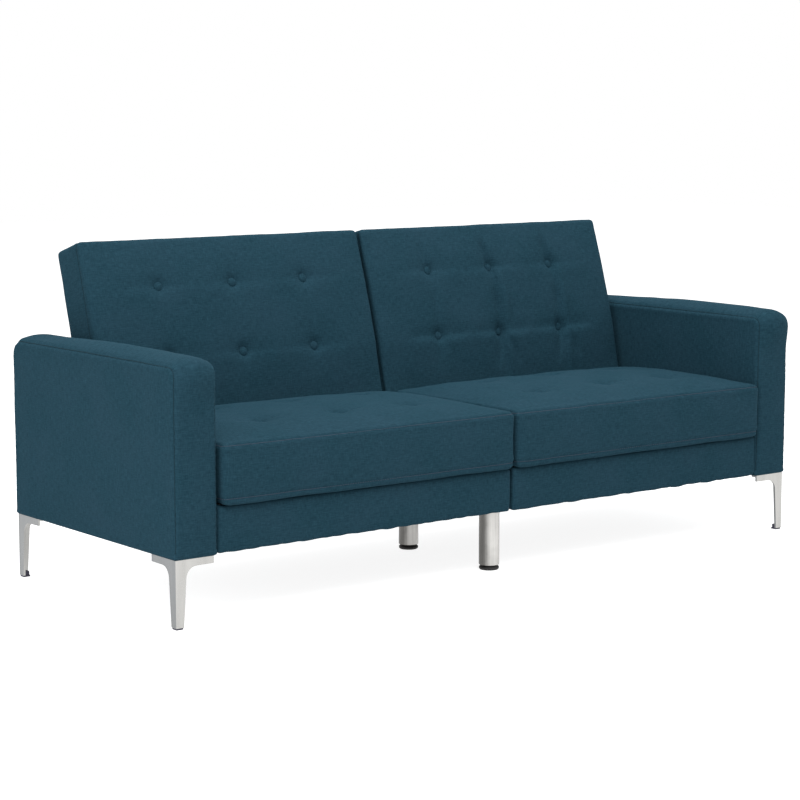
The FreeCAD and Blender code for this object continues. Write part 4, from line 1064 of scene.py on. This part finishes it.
    def held(self, place: Vector, buttons: Sequence[tuple[float, float]]) -> float:
        """How firmly the back's frame, its foot or a button hold a place."""
        if place.y < self.low.y + 0.05:
            if any(math.hypot(place.x - x, place.z - z) < self.button_hold for x, z in buttons):
                return 1.0
        foot = 1 - smoothstep((place.z - 0.005) / 0.07)
        rear = smoothstep((place.y - self.low.y - 0.03) / 0.03)
        rim = min(place.x - self.low.x, self.high.x - place.x, self.high.z - place.z)
        return max(foot, rear, 0.9 * (1 - smoothstep(rim / 0.03)))

    def fold_face(self, piece: bpy.types.Object) -> None:
        """Draws the pull folds into the face."""
        rows = places(piece.data)
        face = np.clip((self.low.y + 0.03 - rows[:, 1]) / 0.02, 0, 1)
        middle = (self.low.x + self.high.x) / 2
        sink = np.zeros(len(rows))
        for fold in self.folds:
            sink += fold.sink(rows[:, 0] - middle, rows[:, 2])
        rows[:, 1] += sink * face
        set_places(piece.data, rows)


def column_folds(x: float, rows: tuple[float, float], top: float, strength: float) -> list[Fold]:
    """The folds that the filling pulls round one column of buttons.

    Args:
        x: the column's distance from the back's middle.
        rows: heights of the lower and the upper button.
        top: the back's top edge.
        strength: 1 for the deepest set.

    Returns:
        A fold over the upper button, one between the buttons and a fan under the lower one.
    """
    low, high = rows
    return [
        Fold((x, high), (x - 0.014, top - 0.03), 0.0042 * strength, 0.009, -0.003),
        Fold((x, high), (x, low + 0.03), 0.0040 * strength, 0.009, 0.006),
        Fold((x, low), (x, high - 0.05), 0.0040 * strength, 0.009, 0.006),
        Fold((x, low), (x - 0.034, 0.055), 0.0026 * strength, 0.011, 0.004),
        Fold((x, low), (x + 0.010, 0.035), 0.0040 * strength, 0.010, -0.003),
        Fold((x, low), (x + 0.055, 0.055), 0.0024 * strength, 0.012, 0.004),
    ]


def row_folds(gap: float, height: float, depth: float) -> list[Fold]:
    """The folds that run from button to button along a row."""
    found = []
    for x in (-gap, 0, gap):
        for way in (-1, 1):
            found.append(Fold((x, height), (x + way * 0.12, height + 0.004 * way), depth, 0.010, 0.002 * way))
    return found


# ---------------------------------------------------------------- covered frames


@dataclass
class ArmCover:
    """An arm: two side panels sewn to a strip that runs up the front, over the top and down the rear."""

    side: Side
    palette: Palette
    pitch: float = 0.010
    front_radius: float = 0.022
    rear_radius: float = 0.042
    foot_radius: float = 0.006
    edge: float = 0.007
    crown: float = 0.020
    front_crown: float = 0.006
    panel_crown: float = 0.004
    inner_crown: float = 0.0012
    top_drop: float = 0.020
    front_drop: float = 0.003
    foot_tuck: float = 0.0015
    seam_radius: float = 0.0008

    def rim(self, y: float, z: float, low: Vector, high: Vector) -> tuple[float, Vector]:
        """How far a place of a side panel is from the rim, and the way out to it."""
        front = y < (low.y + high.y) / 2
        upper = z > (low.z + high.z) / 2
        radius = (self.front_radius if front else self.rear_radius) if upper else self.foot_radius
        corner_y = low.y + radius if front else high.y - radius
        corner_z = high.z - radius if upper else low.z + radius
        away = Vector((0, y - corner_y, z - corner_z))
        if (away.y < 0) == front and (away.z > 0) == upper and away.length > 1e-9:
            return radius - away.length, away.normalized()
        gaps = [
            (y - low.y, Vector((0, -1, 0))), (high.y - y, Vector((0, 1, 0))),
            (z - low.z, Vector((0, 0, -1))), (high.z - z, Vector((0, 0, 1))),
        ]
        return min(gaps, key=lambda pair: pair[0])

    def build(self) -> None:
        """Makes the arm and its seams."""
        name = f"{self.side.prefix}_arm_cover"
        low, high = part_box(name)
        low.z -= self.foot_tuck
        high.z -= self.top_drop
        shape = grid_block(low, high, self.pitch)
        self.round_profile(shape, low, high)
        self.round_edges(shape, low, high)
        piece = finish_mesh(name + "_cloth", shape, self.palette.cloth)
        box_map(piece.data, places(piece.data), turned=True)
        subdivide(piece)
        self.swell(piece, low, high)
        outline = ring((low.y, low.z), (high.y, high.z), self.front_radius)
        levels = (low.x + 0.0015, high.x - 0.0015)
        lines = [[Vector((x, y, z)) for y, z in outline if z > low.z + 0.012] for x in levels]
        runs = sew(piece, lines, 0.0028, 0.0042)
        seams = tube(f"{self.side.prefix}_arm_seams", [opened(run) for run in runs],
                     self.seam_radius, False, self.palette.dark_seam)
        for item in (piece, seams):
            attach(item, "base")
        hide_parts(name)
        LOG.info("%s: %d faces", piece.name, len(piece.data.polygons))

    def round_profile(self, shape: bmesh.types.BMesh, low: Vector, high: Vector) -> None:
        """Rounds the corners that show from the side."""
        for vert in shape.verts:
            front = vert.co.y < (low.y + high.y) / 2
            upper = vert.co.z > (low.z + high.z) / 2
            radius = (self.front_radius if front else self.rear_radius) if upper else self.foot_radius
            centre_y = low.y + radius if front else high.y - radius
            centre_z = high.z - radius if upper else low.z + radius
            y, z = vert.co.y - centre_y, vert.co.z - centre_z
            if (y < 0) == front and (z > 0) == upper and math.hypot(y, z) > 1e-9:
                factor = max(abs(y), abs(z)) / math.hypot(y, z)
                vert.co.y, vert.co.z = centre_y + y * factor, centre_z + z * factor

    def round_edges(self, shape: bmesh.types.BMesh, low: Vector, high: Vector) -> None:
        """Rounds the edges where the side panels meet the strip."""
        for vert in shape.verts:
            depth, out = self.rim(vert.co.y, vert.co.z, low, high)
            inset = min(vert.co.x - low.x, high.x - vert.co.x)
            if depth < self.edge and inset < self.edge:
                a, b = self.edge - depth, self.edge - inset
                factor = max(a, b) / math.hypot(a, b)
                near_low = vert.co.x - low.x < high.x - vert.co.x
                shift = b * (1 - factor)
                vert.co -= out * (a * (1 - factor))
                vert.co.x += shift if near_low else -shift

    def swell(self, piece: bpy.types.Object, low: Vector, high: Vector) -> None:
        """Crowns the strip and the panels over their filling."""
        middle, half = (low.x + high.x) / 2, (high.x - low.x) / 2
        outer_is_low = self.side is Side.LEFT
        rows = places(piece.data)
        normals = normals_of(piece.data)
        for index, row in enumerate(rows):
            depth, _ = self.rim(row[1], row[2], low, high)
            across = 1 - min(1.0, ((row[0] - middle) / half) ** 2)
            normal = normals[index]
            on_panel = abs(normal[0])
            outer = (row[0] < middle) == outer_is_low
            bulge = (self.panel_crown if outer else self.inner_crown) * smoothstep(depth / 0.09)
            bulge += 0.0016 * noise.noise(Vector(row) * 9) * (1 if outer else 0.4) * smoothstep(depth / 0.02)
            upright = smoothstep((high.z - 0.02 - row[2]) / 0.08)
            strip = (self.crown + (self.front_crown - self.crown) * upright) * across * (1 - on_panel)
            strip *= 0.35 + 0.65 * smoothstep((row[2] - low.z) / 0.1)
            strip *= 1 - 0.42 * smoothstep((row[1] + 0.05) / 0.35)
            strip += 0.0012 * noise.noise(Vector(row) * 14) * (1 - on_panel)
            drop = self.front_drop * smoothstep((low.y + 0.16 - row[1]) / 0.16) * smoothstep((row[2] - high.z + 0.09) / 0.09)
            move = normal * (bulge * on_panel ** 2 + (strip if normal[2] > -0.5 else 0))
            rows[index] = row + move - np.array((0, 0, drop))
        set_places(piece.data, rows)


@dataclass
class SeatApron:
    """Cloth stretched round a seat's timber rails and stapled underneath."""

    side: Side
    palette: Palette
    pitch: float = 0.009
    thickness: float = 0.0032
    lip: float = 0.022
    corner: float = 0.006
    pucker: float = 0.0028
    foot_tuck: float = 0.0015

    def build(self) -> None:
        """Makes the band with its turned-in lips."""
        name = f"{self.side.prefix}_seat_apron"
        low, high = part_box(name)
        low.z -= self.foot_tuck
        shape = grid_block(low, high, self.pitch)
        far = []
        for face in shape.faces:
            centre = face.calc_center_median()
            level = abs(centre.z - low.z) < 1e-6 or abs(centre.z - high.z) < 1e-6
            inset = min(centre.x - low.x, high.x - centre.x, centre.y - low.y, high.y - centre.y)
            if level and inset > self.lip:
                far.append(face)
        bmesh.ops.delete(shape, geom=far, context="FACES")
        round_block(shape, low, high, (self.corner,) * 6)
        for vert in shape.verts:
            wave = noise.noise(Vector((vert.co.x * 26, vert.co.y * 26, 4.0)))
            fine = noise.noise(Vector((vert.co.x * 70, vert.co.y * 70, 9.0)))
            foot = smoothstep((low.z + 0.035 - vert.co.z) / 0.03)
            if vert.co.z < high.z - 0.02:
                inward = Vector((0, 0, 0))
                if vert.co.y < low.y + 0.004:
                    inward.y = 1
                elif vert.co.y > high.y - 0.004:
                    inward.y = -1
                vert.co += inward * self.pucker * foot * (0.4 + wave + 0.5 * fine)
                vert.co.z -= 0.0036 * foot * max(0.0, 0.5 + wave + 0.6 * fine)
        bmesh.ops.recalc_face_normals(shape, faces=shape.faces[:])
        bmesh.ops.solidify(shape, geom=shape.faces[:], thickness=self.thickness)
        piece = finish_mesh(name + "_cloth", shape, self.palette.cloth)
        box_map(piece.data, places(piece.data))
        subdivide(piece)
        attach(piece, "base")
        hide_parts(name)
        LOG.info("%s: %d faces", piece.name, len(piece.data.polygons))


@dataclass
class StretchedFelt:
    """A thin sheet of dust cloth, stapled flat with a little slack."""

    node: str
    body: str
    palette: Palette
    thin_axis: int
    matrix: Matrix = field(default_factory=Matrix)
    thickness: float = 0.0008
    slack: float = 0.0012
    cells: float = 0.02

    def build(self) -> None:
        """Makes the sheet in the middle of the space that its CAD node holds."""
        inverse = self.matrix.inverted()
        rows = np.array([inverse @ vert.co for vert in frame["nodes"][self.node].data.vertices])
        low, high = Vector(rows.min(0)), Vector(rows.max(0))
        a, b = [axis for axis in range(3) if axis != self.thin_axis]
        size = high - low
        shape = bmesh.new()
        bmesh.ops.create_grid(
            shape, x_segments=max(2, round(size[a] / self.cells)), y_segments=max(2, round(size[b] / self.cells)), size=0.5
        )
        middle = (low + high) / 2
        for vert in shape.verts:
            x, y = vert.co.x, vert.co.y
            place = Vector(middle)
            place[a] += x * size[a]
            place[b] += y * size[b]
            slack = (1 - (2 * x) ** 4) * (1 - (2 * y) ** 4)
            place[self.thin_axis] += self.slack * slack * noise.noise(Vector((x * 9, y * 7, 2.0)))
            vert.co = place
        bmesh.ops.solidify(shape, geom=shape.faces[:], thickness=self.thickness)
        piece = finish_mesh(self.node + "_sheet", shape, self.palette.felt)
        piece.data.transform(self.matrix)
        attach(piece, self.body)
        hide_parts(self.node)
        LOG.info("%s: %.3f by %.3f m", piece.name, size[a], size[b])


@dataclass
class LevellingFoot:
    """A screw-in foot: a wide rubber pad with a turned hub, on a threaded stem."""

    node: str
    palette: Palette
    pad_radius: float = 0.0245
    hub_radius: float = 0.019
    pad_height: float = 0.009
    hub_height: float = 0.0035
    rim: float = 0.0025
    stem_radius: float = 0.005
    turns: int = 48

    def build(self) -> None:
        """Spins the foot's section round its stem."""
        low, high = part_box(self.node)
        middle = (low + high) / 2
        shape = bmesh.new()
        outline = [
            (0, low.z), (self.pad_radius - self.rim, low.z), (self.pad_radius, low.z + self.rim),
            (self.pad_radius, low.z + self.pad_height - self.rim),
            (self.pad_radius - self.rim, low.z + self.pad_height),
            (self.hub_radius, low.z + self.pad_height), (self.hub_radius - 0.002, low.z + self.pad_height + self.hub_height),
            (self.stem_radius, low.z + self.pad_height + self.hub_height), (self.stem_radius, high.z), (0, high.z),
        ]
        chain = [shape.verts.new((middle.x + across, middle.y, z)) for across, z in outline]
        edges = [shape.edges.new(pair) for pair in zip(chain, chain[1:])]
        bmesh.ops.spin(
            shape, geom=chain + edges, cent=middle, axis=(0, 0, 1), angle=2 * math.pi, steps=self.turns, use_merge=True
        )
        bmesh.ops.remove_doubles(shape, verts=shape.verts[:], dist=1e-6)
        rings = [edge for edge in shape.edges if abs(edge.verts[0].co.z - edge.verts[1].co.z) < 1e-6
                 and edge.is_manifold and edge.calc_face_angle(0) > 0.6]
        bmesh.ops.bevel(
            shape, geom=rings, offset=0.0005, segments=2, profile=0.5, affect="EDGES", material=-1, clamp_overlap=True
        )
        piece = finish_mesh(self.node + "_pad", shape, self.palette.rubber)
        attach(piece, self.node)
        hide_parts(self.node)
        LOG.info("%s: %d faces", piece.name, len(piece.data.polygons))


class Hardware:
    """Everything hard: its shape comes with the frame, and its finish from here."""

    FINISHES = {
        "front_leg": "legs", "rear_leg": "legs", "leg_glides": "glide", "centre_front_leg": "tube",
        "centre_rear_leg": "tube", "centre_front_foot": "rubber", "centre_rear_foot": "rubber",
        "rails": "timber", "arm_frame": "timber", "back_frame": "timber", "springs": "wire",
        "pawl_spring": "wire", "plate": "paint", "plates": "paint", "pawl": "zinc", "rivets": "zinc",
        "straps": "webbing", "bolts": "zinc", "screws": "zinc",
    }

    @classmethod
    def finish_of(cls, node: str, palette: Palette) -> bpy.types.Material | None:
        """The finish of a node, by the longest ending that its name has."""
        endings = [ending for ending in cls.FINISHES if node.endswith(ending)]
        if not endings:
            return None
        return getattr(palette, cls.FINISHES[max(endings, key=len)])

    @classmethod
    def dress(cls, palette: Palette) -> None:
        """Gives each node that stays its finish."""
        for name, node in frame["nodes"].items():
            finish = cls.finish_of(name, palette)
            if finish is None:
                continue
            if not node.material_slots:
                node.data.materials.append(finish)
            for place in node.material_slots:
                place.material = finish
            LOG.info("%s: %s", name, finish.name)


# ---------------------------------------------------------------- studio


@dataclass(frozen=True)
class Studio:
    """A pale floor, soft lamps and the camera."""

    camera_place: tuple[float, float, float] = (-3.4407, -4.3756, 1.1371)
    camera_dip: float = 7.684
    camera_turn: float = 37.653
    lens: float = 100.75
    floor_half: float = 14.0
    ambient: float = 0.45
    floor_lift: float = 0.86

    def seen(self, tree: bpy.types.NodeTree) -> bpy.types.NodeSocket:
        """A socket that is 1 where the camera, or metal, looks at the background."""
        path = tree.nodes.new("ShaderNodeLightPath")
        total = path.outputs["Is Camera Ray"]
        for label in ("Is Glossy Ray", "Is Transmission Ray"):
            most = tree.nodes.new("ShaderNodeMath")
            most.operation = "MAXIMUM"
            tree.links.new(total, most.inputs[0])
            tree.links.new(path.outputs[label], most.inputs[1])
            total = most.outputs[0]
        return total

    def floor(self) -> None:
        """A white sweep that keeps the sofa's soft shadow."""
        shape = bmesh.new()
        bmesh.ops.create_grid(shape, x_segments=1, y_segments=1, size=self.floor_half)
        floor = finish_mesh("studio_floor", shape)
        floor.data.flip_normals() if floor.data.polygons[0].normal.z < 0 else None
        shader = Shader("white_floor", Base_Color=(0.8, 0.8, 0.8, 1), Roughness=0.9, Specular_IOR_Level=0.0)
        lift = shader.node("ShaderNodeEmission", {}, (1, 1, 1, 1))
        strength = shader.node("ShaderNodeMath", {"operation": "MULTIPLY"}, self.seen(shader.tree), self.floor_lift)
        shader.feed(lift.inputs["Strength"], strength.outputs[0])
        both = shader.node("ShaderNodeAddShader", {}, shader.surface.outputs[0], lift.outputs[0])
        output = next(node for node in shader.tree.nodes if node.type == "OUTPUT_MATERIAL")
        shader.tree.links.new(both.outputs[0], output.inputs[0])
        floor.data.materials.append(shader.material)

    def sky(self) -> None:
        """Even light all round, white where the camera sees it."""
        world = bpy.data.worlds.new("studio")
        bpy.context.scene.world = world
        world.use_nodes = True
        tree = world.node_tree
        light = next(node for node in tree.nodes if node.type == "BACKGROUND")
        light.inputs["Color"].default_value = (0.97, 0.985, 1.0, 1)
        light.inputs["Strength"].default_value = self.ambient
        white = tree.nodes.new("ShaderNodeBackground")
        white.inputs["Color"].default_value = (1, 1, 1, 1)
        mix = tree.nodes.new("ShaderNodeMixShader")
        output = next(node for node in tree.nodes if node.type == "OUTPUT_WORLD")
        tree.links.new(self.seen(tree), mix.inputs[0])
        tree.links.new(light.outputs[0], mix.inputs[1])
        tree.links.new(white.outputs[0], mix.inputs[2])
        tree.links.new(mix.outputs[0], output.inputs[0])

    def lamp(self, name: str, place: Vector, size: float, energy: float) -> None:
        """A square soft lamp that faces the sofa."""
        data = bpy.data.lights.new(name, "AREA")
        data.size = size
        data.energy = energy
        lamp = bpy.data.objects.new(name, data)
        lamp.location = place
        aim = Vector((0, 0, 0.35)) - place
        lamp.rotation_euler = aim.to_track_quat("-Z", "Y").to_euler()
        bpy.context.scene.collection.objects.link(lamp)

    def camera(self) -> None:
        """The camera, low and to the sofa's left."""
        data = bpy.data.cameras.new("view")
        data.lens = self.lens
        data.sensor_width = 36
        data.clip_end = 60
        camera = bpy.data.objects.new("view", data)
        camera.location = self.camera_place
        camera.rotation_euler = (math.radians(90 - self.camera_dip), 0, math.radians(-self.camera_turn))
        bpy.context.scene.collection.objects.link(camera)
        bpy.context.scene.camera = camera

    def build(self) -> None:
        """Sets up the whole studio."""
        bpy.context.scene.view_settings.view_transform = "Standard"
        self.floor()
        self.sky()
        self.lamp("key", Vector((-1.8, -2.8, 4.2)), 2.4, 96)
        self.lamp("top", Vector((0.4, 0.2, 4.2)), 3.0, 70)
        self.lamp("right", Vector((4.2, -2.2, 2.2)), 2.4, 14)
        self.lamp("left", Vector((-3.4, -0.6, 1.1)), 1.6, 20)
        self.camera()


# ---------------------------------------------------------------- assembly


def back_folds(side: Side) -> tuple[Fold, ...]:
    """The pull folds of one back, deeper on the half that is leaned on more."""
    gap, rows, top = BackCushion.column_gap, BackCushion.tuft_rows, 0.454
    strengths = (0.06, 0.12, 0.12) if side is Side.LEFT else (0.6, 1.9, 1.6)
    found = []
    for x, strength in zip((-gap, 0, gap), strengths):
        found += column_folds(x, rows, top, strength)
    found += row_folds(gap, rows[0], 0.0016 if side is Side.LEFT else 0.0034)
    found += row_folds(gap, rows[1], 0.0014 if side is Side.LEFT else 0.0016)
    return tuple(found)


def main() -> None:
    """Builds the sofa bed's soft parts and finishes, and the studio round them."""
    logging.basicConfig(level=logging.INFO, format="%(relativeCreated)d %(name)s: %(message)s")
    palette = Palette()
    for side in Side:
        SeatCushion(side, palette).build()
        back = BackCushion(side, palette, folds=back_folds(side))
        back.build()
        ArmCover(side, palette).build()
        SeatApron(side, palette).build()
        StretchedFelt(f"{side.prefix}_dust_cover", "base", palette, thin_axis=2).build()
        StretchedFelt(back.body + "_lining", back.body, palette, thin_axis=1, matrix=back.matrix).build()
    for place in ("front", "rear"):
        LevellingFoot(f"centre_{place}_foot", palette).build()
    Hardware.dress(palette)
    Studio().build()


if __name__ == "__main__":
    main()
